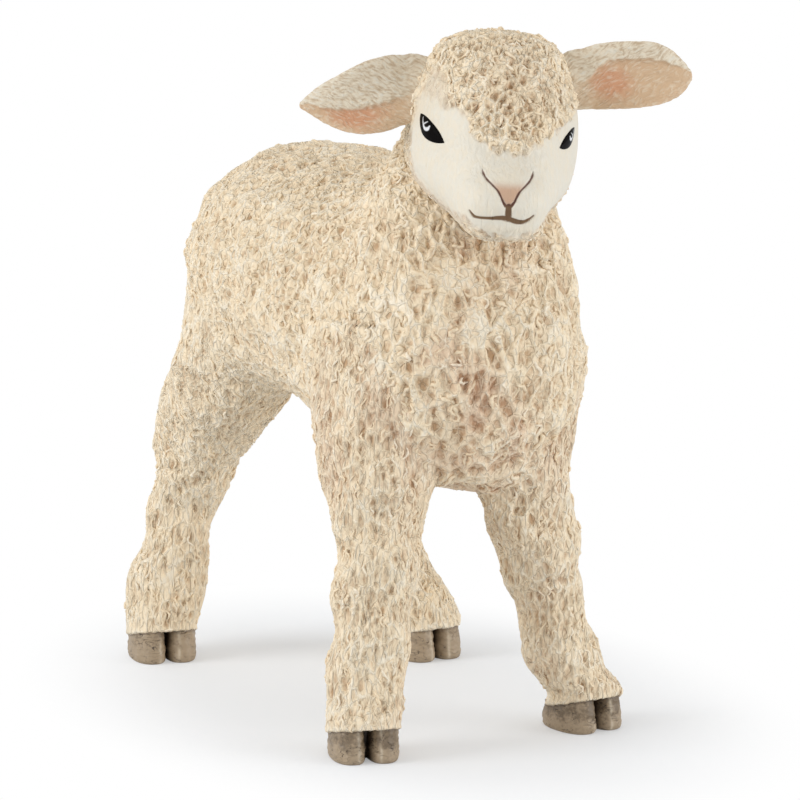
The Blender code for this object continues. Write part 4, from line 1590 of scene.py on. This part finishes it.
@dataclass
class Ear:
    """A leaf-shaped ear that points outward, hollow and peach to the front.

    A section holds the way along, half width, half thickness, cup and rise as shares of the ear's own sizes. Its
    place is a share of the head's width, length and height. Pink holds the middle and the spread of the peach
    inside it, along the ear and across it.
    """

    name: str
    side: int
    raised: float
    place: tuple
    length: float = 8.4
    width: float = 4.8
    thickness: float = 1.3
    cup: float = 1.3
    turn: float = math.radians(-20.0)
    pink: tuple = (0.36, 0.13, -0.15, 0.35)
    sections: Table = (
        (-0.12, 0.30, 0.50, 0.10, 0.02), (0.06, 0.41, 0.50, 0.25, 0.055), (0.20, 0.43, 0.46, 0.50, 0.05),
        (0.36, 0.46, 0.42, 0.80, 0.04), (0.56, 0.46, 0.38, 1.00, 0.02), (0.72, 0.43, 0.36, 0.90, 0.02),
        (0.85, 0.34, 0.32, 0.60, 0.01), (0.95, 0.21, 0.26, 0.30, 0.00), (1.00, 0.09, 0.16, 0.00, 0.00),
    )
    step: float = 0.062
    columns: int = 176
    fold_height: float = 0.20
    streak_height: float = 0.035

    def build(self, studio: Studio, head: Head) -> None:
        """Builds the ear: ovals along it, whose edges bend forward by the square of their height.

        Args:
            studio: The mesh maker.
            head: The head that carries it.
        """
        places = even_places(self.sections, (self.length, self.width, 0, 0, 0), self.step)
        rows = table_at(self.sections, places)
        angle = round_angles(self.columns)
        z = rows[:, 1:2] * self.width * np.sin(angle)
        y = rows[:, 2:3] * self.thickness * np.cos(angle)
        x = np.repeat(self.side * rows[:, 0:1] * self.length, len(angle), axis=1)
        y = y - rows[:, 3:4] * self.cup * (z / (self.width / 2)) ** 2
        level = np.broadcast_to(np.sin(angle), z.shape)
        z = z + rows[:, 4:5] * self.width
        points = np.stack([x, y, z], axis=-1)
        tip = rounded_end(points[-1], (self.side, 0, 0), 0.12, 5)
        points = np.concatenate([points, tip])
        level = np.concatenate([level, np.repeat(level[-1:], len(tip), axis=0)])
        skin = Skin(points)
        way = np.abs(points[..., 0]) / self.length
        front = np.broadcast_to(-np.cos(angle), level.shape)
        edge = self.fold_edge(way)
        inner = smoothstep(-0.02, 0.12, front) * smoothstep(0.05, -0.05, level - edge) * smoothstep(0.06, 0.24, way)
        skin.marks["inner"] = inner
        pink = ((way - self.pink[0]) / self.pink[1]) ** 2 + ((level - self.pink[2]) / self.pink[3]) ** 2
        skin.marks["deep"] = inner * np.exp(-0.5 * pink)
        # Root mark: painted shade near the root, more so on the lower side.
        skin.marks["root"] = smoothstep(0.32, 0.02, way) * smoothstep(0.5, -0.6, level)
        lip = smoothstep(0.0, 0.25, front) * smoothstep(-0.07, 0.03, level - edge) * smoothstep(0.12, 0.3, way)
        fold = self.fold_height * lip * smoothstep(1.0, 0.8, way)
        skin.swell(fold + self.streak_height * self.streaks(points))
        turn = np.array(Matrix.Rotation(-self.side * self.raised, 3, "Y") @ Matrix.Rotation(self.turn, 3, "X"))
        across, along, up = self.place
        root = np.array([self.side * across * head.width, along * head.length, up * head.height])
        skin.points = head.outward(skin.points @ turn.T + root)
        studio.piece(self.name + "_skin", skin.solid(), self.name, (self.name,))

    def streaks(self, points: Array) -> Array:
        """Hair about 0: noise drawn out along lines that run outward and downward.

        Args:
            points: Places in the ear's own frame.

        Returns:
            One height for each place.
        """
        x, y, z = np.moveaxis(points, -1, 0)
        x = np.abs(x)
        drawn = np.stack([(z + 0.45 * x) * 3.6, (x - 0.45 * z) * 1.2, y * 2.0], axis=-1)
        return gradient_noise(drawn, 61) + 0.6 * gradient_noise(drawn * 1.8, 62)

    def fold_edge(self, way: Array) -> Array:
        """Level, as a share of the half width, down to which the outer skin folds over the front.

        Args:
            way: Way along the ear, as a share of its length.

        Returns:
            The level at each place.
        """
        ragged = 0.07 * gradient_noise(np.stack([way * 17, way * 0, way * 0], axis=-1), 63)
        if self.side < 0:
            return -0.20 + ragged + 0.2 * smoothstep(0.8, 1.0, way)
        return -0.10 + 0.62 * smoothstep(0.12, 0.38, way) - 0.12 * smoothstep(0.6, 1.0, way) + ragged


@dataclass
class Hoof:
    """A cloven hoof: two claws with a gap between them and a web behind it, painted dark as shade in the cleft.

    Cleft is the gap between the claws, opening is how far they part at the toes, and the painted light is how much
    more of the pale stone colour shows, where less light reaches the hoof. A row of walls holds the share of the
    height and the claw's size there. Squareness holds the powers of the claw's plan: towards the cleft at the toe and
    at the heel, outward, and along. Lean is how far the toe leans out with its height, and pared is how far its tip
    is drawn in.
    """

    name: str
    foot: tuple[float, float]
    heading: float
    width: float = 4.7
    length: float = 4.8
    toe_height: float = 2.6
    heel_height: float = 1.4
    cleft: float = 0.14
    opening: float = 0.16
    wear: float = 0.0
    columns: int = 120
    squareness: tuple = (2.9, 4.5, 2.2, 2.4)
    lean: float = 0.10
    pared: float = 0.10
    walls: Table = (
        (0.0, 0.88), (0.03, 0.945), (0.12, 1.0), (0.55, 0.985), (0.9, 0.94), (1.0, 0.90),
    )

    def slope(self) -> float:
        """How much the coronet falls for each millimetre from the toe to the heel."""
        return (self.toe_height - self.heel_height) / self.length

    def coronet(self, y: Array) -> Array:
        """Height of the coronet over a point of the sole."""
        return (self.toe_height + self.heel_height) / 2 - self.slope() * y

    def claw(self, side: int) -> Skin:
        """One claw: its plan is an oval that is square towards the cleft and round outward, and its wall bulges.

        Args:
            side: -1 or 1, the side of the cleft on which it stands.

        Returns:
            Its skin, before it is turned.
        """
        half = (self.width - self.cleft) / 4
        angle = round_angles(self.columns)
        c, s = np.cos(angle), np.sin(angle)
        toe_power, heel_power, outer_power, long_power = (2 / number for number in self.squareness)
        power = np.where(c * side < 0, np.where(s < 0, toe_power, heel_power), outer_power)
        x = half * np.sign(c) * np.abs(c) ** power
        y = self.length / 2 * np.sign(s) * np.abs(s) ** long_power
        rise = np.concatenate([np.linspace(0, 0.14, 8), np.linspace(0.2, 1.15, 34)])
        wall = np.interp(rise, *np.array(self.walls).T)[:, None]
        lean = self.lean * rise[:, None] * (y[None, :] < 0) * np.abs(y[None, :])
        py = y[None, :] * wall + lean
        px = x[None, :] * wall + side * (self.cleft / 4 + self.width / 4 - 0.05)
        toe = np.clip(-py / (self.length / 2), 0, 1)
        px = px + side * (self.opening * np.clip(-c * side, 0, 1)[None, :] * toe**1.6 - self.pared * toe**2)
        z = rise[:, None] * self.coronet(py)
        rings = np.stack([px, py, z], axis=-1)
        middle = rings[:1].mean(axis=1, keepdims=True)
        sole = middle + (rings[:1] - middle) * np.linspace(0.1, 0.95, 6)[:, None, None]
        sole[..., 2] = 0.0
        return Skin(np.concatenate([sole, rings]))

    def dress(self, skin: Skin, side: int) -> None:
        """Marks a claw's painted shade in the cleft and painted shadow under the fleece's hem, its painted highlight
        on the edge and how pale it is, and roughens it with level streaks.

        Args:
            skin: The claw's skin.
            side: The side of the cleft on which it stands.
        """
        own, inward = skin.points, -side * skin.normals()[..., 0]
        x, y, z = np.abs(own[..., 0]), own[..., 1], own[..., 2]
        # The cleft mark: painted shade on the faces that look into the cleft, and a painted shadow in a band under
        # the fleece's hem.
        facing = smoothstep(0.35, 0.75, inward) * smoothstep(0.75, 0.35, x)
        groove = smoothstep(0.80, 0.95, z / self.coronet(y))
        skin.marks["cleft"] = np.maximum(facing * smoothstep(-1.9, -1.1, y), 0.55 * groove)
        # The edge mark: a painted highlight where the claw turns into the cleft towards the toe.
        turning = np.exp(-(((inward - 0.3) / 0.16) ** 2)) * smoothstep(1.1, 0.8, x)
        skin.marks["edge"] = turning * smoothstep(-1.2, -1.7, y)
        # How much of the pale stone colour shows: more towards the sole, and more all over on the rear hooves, as
        # painted light where less light reaches them.
        skin.marks["paler"] = smoothstep(1.6, 0.3, z) + self.wear
        rough = 0.07 * gradient_noise(own * [0.9, 0.9, 2.6], 71) + 0.03 * gradient_noise(own * [2.0, 2.0, 6.0], 72)
        skin.swell(rough * smoothstep(0.0, 0.4, z))

    def build(self, studio: Studio) -> None:
        """Builds the claws and the web in one piece.

        Args:
            studio: The mesh maker.
        """
        claws = []
        for side in (-1, 1):
            claw = self.claw(side)
            self.dress(claw, side)
            claws.append(self.seated(claw))
        whole = claws[0].joined(claws[1]).joined(self.seated(self.web()))
        studio.piece(self.name + "_horn", whole, "horn", (self.name,))

    def web(self) -> Skin:
        """The web behind the cleft: a narrow oval block that closes the gap from the middle to the heel, all in the
        dark colour of the painted shade in the cleft.
        """
        angle = round_angles(48)
        rise = np.linspace(0.04, 1.1, 14)[:, None]
        x = 1.1 * np.cos(angle)[None, :] * np.ones_like(rise)
        y = 0.7 + 1.3 * np.sin(angle)[None, :] * np.ones_like(rise)
        skin = Skin(np.stack([x, y, rise * self.coronet(y)], axis=-1))
        for name, value in (("cleft", 1.0), ("edge", 0.0), ("paler", 0.0)):
            skin.marks[name] = np.full(skin.points.shape[:2], value)
        return skin

    def seated(self, skin: Skin) -> Solid:
        """The skin in the lamb's frame, turned with the toes and moved to the foot.

        Args:
            skin: The skin in the hoof's own frame.

        Returns:
            Its solid.
        """
        turn = np.array(Matrix.Rotation(self.heading, 3, "Z"))
        skin.points = skin.points @ turn.T + np.array([*self.foot, 0.0])
        return skin.solid()


@dataclass
class Leg:
    """One leg of fleece from the lip over the hoof up into the torso.

    A row of shares holds the middle as shares of the torso's width, length and height, and the half width and half
    depth as shares of the leg's own. Drop is how far the lip hangs below the coronet.
    """

    name: str
    hoof: Hoof
    shares: Table
    width: float = 5.2
    depth: float = 5.2
    drop: float = 0.25
    step: float = 0.13
    columns: int = 144
    blend: float = 2.4
    locks: Curls = Curls(1.1, (0.7, 1.4), (0.075, 0.12), turn=1.0, wave=0.7, lie=Lie.HANGING, lift=-0.15)

    def column(self, body: Torso) -> Column:
        """The leg's form: its table in millimetres, with the sloping lip below it.

        Args:
            body: The torso, of which the table holds shares.

        Returns:
            The form.
        """
        scale = (body.width, body.length, body.height, self.width, self.depth)
        rows = [tuple(a * b for a, b in zip(row, scale)) + (0.0,) for row in self.shares]
        hoof, level = self.hoof, self.hoof.coronet(0.0)
        lip = (*hoof.foot, level - self.drop, 0.535 * hoof.width, 0.535 * hoof.length, 1.0)
        above = (*hoof.foot, level + 0.7, 0.53 * hoof.width, 0.53 * hoof.length, 0.55)
        return Column((lip, above, *rows), hoof.heading, hoof.slope(), hoof.foot)

    def wash_and_shade(self, points: Array) -> Array:
        """How dark the wash and the painted shade lie: the wash in loose patches, painted shade rising above the knee
        towards the body, and hardly any on the rear legs.

        Args:
            points: Places in the lamb's frame.

        Returns:
            The share of wash at each place.
        """
        patch = gradient_noise(points * [0.28, 0.28, 0.2], 77)
        tan = -0.05 if self.name.startswith("rear") else 0.18
        return np.clip(tan * (1 + smoothstep(12.0, 18.0, points[..., 2])) + 0.4 * patch, 0, 1)

    def build(self, studio: Studio, body: Torso, seed: int) -> None:
        """Builds the leg's skin and its locks.

        Args:
            studio: The mesh maker.
            body: The torso that carries it.
            seed: Number of its relief and crop.
        """
        rings = self.column(body).lumpy_rings(self.step, self.columns)
        middle = rings[0].mean(axis=0)
        rings[0] = middle + (rings[0] - middle) * 0.93
        hem = middle + (rings[0] - middle) * np.linspace(0.5, 0.97, 4)[:, None, None] + np.array([0, 0, 0.12])
        skin = Skin(np.concatenate([hem, rings]))
        gap = body.distance(skin.points)
        skin.swell(fillet(gap, self.blend))
        quiet = smoothstep(0.0, 1.2, skin.points[..., 2] - self.hoof.coronet(0.0))
        skin.marks["wash_and_shade"] = self.wash_and_shade(skin.points)
        coat = Relief(seed, stretch=(1.4, 1.4, 0.55), cell=0.95, ridge=0.28)
        coat.press(skin, 0.25 + 0.75 * quiet)
        skin.marks["crest"] = skin.marks["crest"] + 0.8 * (1 - quiet)
        studio.piece(self.name + "_fleece", skin.solid(), "leg_fleece", (self.name,))
        free = smoothstep(-0.3, 0.0, gap) * (0.15 + 0.85 * quiet)
        free[:6] = 0
        studio.crop(self.name + "_curls", self.locks, skin, seed + 50, free)


@dataclass
class Tail:
    """The tail, which hangs close behind the rump.

    A row of shares holds the way along and the height as shares of the torso's, and the half width and half depth as
    shares of the tail's own.
    """

    width: float = 3.6
    depth: float = 2.6
    step: float = 0.14
    columns: int = 88
    blend: float = 1.4
    # Share of the wash mark over the whole tail: the painter's wash and painted shade, even all over.
    wash_and_shade: float = 0.25
    coat: Relief = Relief(81, stretch=(1.4, 1.4, 0.6), cell=0.85, ridge=0.22, sink=0.18)
    locks: Curls = Curls(2.2, (0.7, 1.3), (0.07, 0.11), turn=1.6, lie=Lie.HANGING, lift=0.0)
    shares: Table = (
        (0.370, 0.925, 0.34, 0.40), (0.425, 0.890, 0.44, 0.50), (0.462, 0.830, 0.50, 0.50),
        (0.478, 0.750, 0.50, 0.50), (0.478, 0.670, 0.46, 0.46), (0.474, 0.610, 0.36, 0.36),
        (0.470, 0.585, 0.16, 0.18),
    )

    def column(self, body: Torso) -> Column:
        """The tail's form in millimetres."""
        scale = (body.length, body.height, self.width, self.depth)
        return Column(tuple((0.0, *(a * b for a, b in zip(row, scale)), 0.0) for row in self.shares))

    def build(self, studio: Studio, body: Torso) -> None:
        """Builds the tail's skin and its locks.

        Args:
            studio: The mesh maker.
            body: The torso that carries it.
        """
        rings = self.column(body).lumpy_rings(self.step, self.columns)
        skin = Skin(np.concatenate([rings, rounded_end(rings[-1], (0, 0, -1), 0.25, 4)]))
        gap = body.distance(skin.points)
        skin.swell(fillet(gap, self.blend))
        skin.marks["wash_and_shade"] = np.full_like(gap, self.wash_and_shade)
        self.coat.press(skin)
        studio.piece("tail_fleece", skin.solid(), "leg_fleece", ("tail",))
        studio.crop("tail_curls", self.locks, skin, 82, smoothstep(-0.3, 0.0, gap))


# ---------------------------------------------------------------- the lamb and its studio


@dataclass
class Lamb:
    """The whole figure: its parts with their places.

    A foot holds its place, as shares of the torso's width and length, and the heading of its toes in degrees. Rear
    hooves are more closed than the front ones, and paler, as painted light where less light reaches them. The right
    ear is folded, so it has its own sections.
    """

    torso: Torso = field(default_factory=Torso)
    head: Head = field(default_factory=Head)
    tail: Tail = field(default_factory=Tail)
    feet: dict = field(
        default_factory=lambda: {
            "front_right": ((-0.425, -0.390), -14.0),
            "front_left": ((0.425, -0.360), 10.0),
            "rear_right": ((-0.440, 0.4125), -10.0),
            "rear_left": ((0.405, 0.225), 4.0),
        }
    )
    limbs: dict = field(
        default_factory=lambda: {
            "front_right": (
                (-0.405, -0.380, 0.120, 0.51, 0.50), (-0.390, -0.375, 0.190, 0.50, 0.47),
                (-0.375, -0.375, 0.280, 0.52, 0.50), (-0.360, -0.370, 0.350, 0.53, 0.50),
                (-0.340, -0.350, 0.445, 0.60, 0.62), (-0.320, -0.325, 0.540, 0.72, 0.80),
                (-0.300, -0.300, 0.675, 0.68, 0.85), (-0.300, -0.290, 0.780, 0.38, 0.55),
            ),
            "front_left": (
                (0.365, -0.355, 0.120, 0.51, 0.50), (0.340, -0.352, 0.180, 0.46, 0.46),
                (0.305, -0.350, 0.240, 0.42, 0.44), (0.270, -0.350, 0.300, 0.52, 0.52),
                (0.260, -0.350, 0.355, 0.57, 0.55), (0.222, -0.345, 0.415, 0.57, 0.58),
                (0.215, -0.325, 0.520, 0.64, 0.72), (0.250, -0.300, 0.675, 0.68, 0.85),
                (0.290, -0.290, 0.780, 0.38, 0.55),
            ),
            "rear_right": (
                (-0.420, 0.415, 0.120, 0.54, 0.54), (-0.405, 0.412, 0.180, 0.50, 0.48),
                (-0.380, 0.408, 0.245, 0.46, 0.45), (-0.350, 0.405, 0.315, 0.47, 0.52),
                (-0.325, 0.385, 0.380, 0.53, 0.62), (-0.300, 0.350, 0.460, 0.68, 0.86),
                (-0.290, 0.280, 0.560, 0.80, 1.04), (-0.285, 0.215, 0.675, 0.78, 1.05),
                (-0.290, 0.235, 0.790, 0.42, 0.60),
            ),
            "rear_left": (
                (0.375, 0.245, 0.120, 0.52, 0.54), (0.330, 0.265, 0.180, 0.49, 0.48),
                (0.300, 0.290, 0.245, 0.46, 0.45), (0.285, 0.305, 0.325, 0.48, 0.55),
                (0.270, 0.315, 0.400, 0.56, 0.68), (0.270, 0.305, 0.480, 0.68, 0.85),
                (0.280, 0.275, 0.570, 0.80, 1.05), (0.290, 0.235, 0.675, 0.78, 1.10),
                (0.290, 0.235, 0.790, 0.42, 0.60),
            ),
        }
    )

    # Rear hooves: a narrower cleft, and painted light that makes them paler where less light reaches them.
    hind_hoof: dict = field(default_factory=lambda: {"cleft": 0.07, "opening": 0.04, "wear": 0.75})
    right_ear_sections: Table = (
        (-0.12, 0.36, 0.50, 0.10, 0.06), (0.06, 0.46, 0.50, 0.25, 0.08), (0.20, 0.48, 0.46, 0.50, 0.05),
        (0.40, 0.51, 0.42, 0.85, -0.02), (0.58, 0.46, 0.38, 1.00, -0.065), (0.74, 0.345, 0.36, 0.85, -0.06),
        (0.86, 0.225, 0.32, 0.55, -0.03), (0.95, 0.12, 0.26, 0.25, 0.00), (1.00, 0.05, 0.16, 0.00, 0.00),
    )

    def legs(self) -> list[Leg]:
        """The four legs with their hooves."""
        made = []
        for name, shares in self.limbs.items():
            (across, along), heading = self.feet[name]
            foot = (across * self.torso.width, along * self.torso.length)
            horn = self.hind_hoof if name.startswith("rear") else {}
            made.append(Leg(name + "_leg", Hoof(name + "_hoof", foot, math.radians(heading), **horn), shares))
        return made

    def build(self, studio: Studio) -> None:
        """Builds every piece in order.

        Args:
            studio: The mesh maker.
        """
        legs = self.legs()
        columns = [part.column(self.torso) for part in (*legs, self.tail)]
        self.torso.build(studio, columns, self.head)
        self.head.build(studio)
        left = Ear("ear_left", 1, math.radians(8.0), (0.40, -0.02, 0.22))
        patch, folded = (0.6, 0.16, -0.45, 0.3), self.right_ear_sections
        right = Ear("ear_right", -1, math.radians(-9.0), (0.40, -0.02, 0.15), pink=patch, sections=folded)
        for ear in (left, right):
            ear.build(studio, self.head)
        for number, leg in enumerate(legs):
            leg.build(studio, self.torso, 101 + 10 * number)
            leg.hoof.build(studio)
        self.tail.build(studio, self.torso)


@dataclass(frozen=True)
class Stage:
    """Camera, lamps, floor and surroundings.

    The target and the distance are in millimetres in the lamb's frame. A lamp holds its name, its place and its size
    in metres, and its power in watts. Shadow holds the half axes, in millimetres, of the oval on the floor that keeps
    the shadow, its edge is a share of them, and the glow is the floor's share of plain white inside it.
    """

    target: tuple = (-6.0, -16.0, 24.0)
    distance: float = 450.0
    azimuth: float = math.radians(-26.0)
    elevation: float = math.radians(11.2)
    lens: float = 307.8
    sensor: float = 36.0
    lamps: tuple = (
        ("key", (-0.20, -0.45, 0.42), 0.26, 0.05),
        ("side", (-0.50, 0.05, 0.25), 0.28, 1.28),
        ("fill", (0.40, -0.36, 0.12), 0.30, 1.15),
    )
    aim: tuple = (0.0, 0.0, 0.024)
    daylight: tuple = (1.0, 0.99, 0.97, 1.0)
    daylight_strength: float = 0.64
    floor_half: float = 2.0
    floor_colours: tuple = ((0.895, 0.93, 0.98), (0.905, 0.94, 0.99))
    shadow: tuple[float, float] = (15.0, 23.0)
    shadow_edge: tuple[float, float] = (0.80, 1.65)
    floor_glow: float = 0.30

    def build(self, studio: Studio) -> None:
        """Sets up the camera, the lamps, the floor and the surroundings.

        Args:
            studio: The mesh maker, which knows where the lamb stands.
        """
        self.camera(studio)
        for lamp in self.lamps:
            self.lamp(*lamp)
        self.surroundings()
        self.floor()

    def camera(self, studio: Studio) -> None:
        """A long lens on a line from the target, given by its azimuth and elevation.

        Args:
            studio: The mesh maker, which knows where the lamb stands.
        """
        a, e = self.azimuth, self.elevation
        back = Vector((math.sin(a) * math.cos(e), -math.cos(a) * math.cos(e), math.sin(e)))
        right = Vector((math.cos(a), math.sin(a), 0.0))
        target = (Vector(self.target) + Vector(studio.shift)) * MM
        camera = placed("camera", bpy.data.cameras.new("camera"))
        camera.data.sensor_width = self.sensor
        camera.data.lens = self.lens
        camera.data.clip_start = 0.01
        turned = Matrix((right, back.cross(right), back)).transposed().to_4x4()
        camera.matrix_world = Matrix.Translation(target + back * self.distance * MM) @ turned
        bpy.context.scene.camera = camera

    def lamp(self, name: str, place: tuple, size: float, power: float) -> None:
        """A square area lamp aimed at the middle of the lamb.

        Args:
            name: Its name.
            place: Its place.
            size: Its width.
            power: Its power.
        """
        data = bpy.data.lights.new(name, "AREA")
        data.shape = "SQUARE"
        data.size = size
        data.energy = power
        made = placed(name, data)
        made.location = place
        made.rotation_euler = (Vector(place) - Vector(self.aim)).to_track_quat("Z", "Y").to_euler()

    def surroundings(self) -> None:
        """Even pale light all round, and plain white to the camera and in gloss."""
        world = bpy.data.worlds.new("surroundings")
        world.use_nodes = True
        bpy.context.scene.world = world
        wiring = Wiring(world.node_tree)
        wiring.tree.nodes.clear()
        light = wiring.node("ShaderNodeBackground", {}, {"Color": self.daylight, "Strength": self.daylight_strength})
        white = wiring.node("ShaderNodeBackground", {}, {"Color": WHITE})
        path = wiring.node("ShaderNodeLightPath", {}, {})
        seen = Term(wiring, path.outputs["Is Camera Ray"])
        for word in ("Is Glossy Ray", "Is Transmission Ray"):
            seen = seen.math("MAXIMUM", path.outputs[word])
        mixed = wiring.node("ShaderNodeMixShader", {}, {0: seen, 1: light.outputs[0], 2: white.outputs[0]})
        wiring.node("ShaderNodeOutputWorld", {}, {0: mixed.outputs[0]})

    def floor(self) -> None:
        """A wide white floor that keeps the shadow near the lamb and fades into white away from it."""
        mesh = bpy.data.meshes.new("floor")
        half = self.floor_half
        mesh.from_pydata([(-half, -half, 0), (half, -half, 0), (half, half, 0), (-half, half, 0)], [], [(0, 1, 2, 3)])
        made = placed("floor", mesh)
        paint = Paint("white_floor", 0.9)
        place = paint.place()
        spread = paint.stretched(place, (1 / self.shadow[0], 1 / self.shadow[1], 0.0))
        away = paint.term("ShaderNodeVectorMath", {"operation": "LENGTH"}, {0: spread}, "Value")
        fade = self.floor_glow + (1 - self.floor_glow) * away.step(*self.shadow_edge)
        paint.finish(paint.mix(paint.noise(place, 0.4, 2.0), *self.floor_colours))
        glow = paint.node("ShaderNodeEmission", {}, {"Color": WHITE, "Strength": 1.0})
        seen = Term(paint, paint.node("ShaderNodeLightPath", {}, {}).outputs["Is Camera Ray"])
        inputs = {0: fade * seen, 1: paint.shader.outputs[0], 2: glow.outputs[0]}
        mixed = paint.node("ShaderNodeMixShader", {}, inputs)
        output = next(node for node in paint.tree.nodes if node.type == "OUTPUT_MATERIAL")
        paint.tree.links.new(mixed.outputs[0], output.inputs["Surface"])
        mesh.materials.append(paint.material)


def main() -> None:
    """Builds the lamb and its studio."""
    logging.basicConfig(level=logging.INFO, format="%(name)s: %(message)s")
    lamb = Lamb()
    studio = Studio.from_frame(lamb.torso, lamb.feet["front_right"][0])
    LOG.info("shift %s", studio.shift)
    lamb.build(studio)
    Stage().build(studio)
    scene = bpy.context.scene
    scene.view_settings.view_transform = "Standard"


if __name__ == "__main__":
    main()
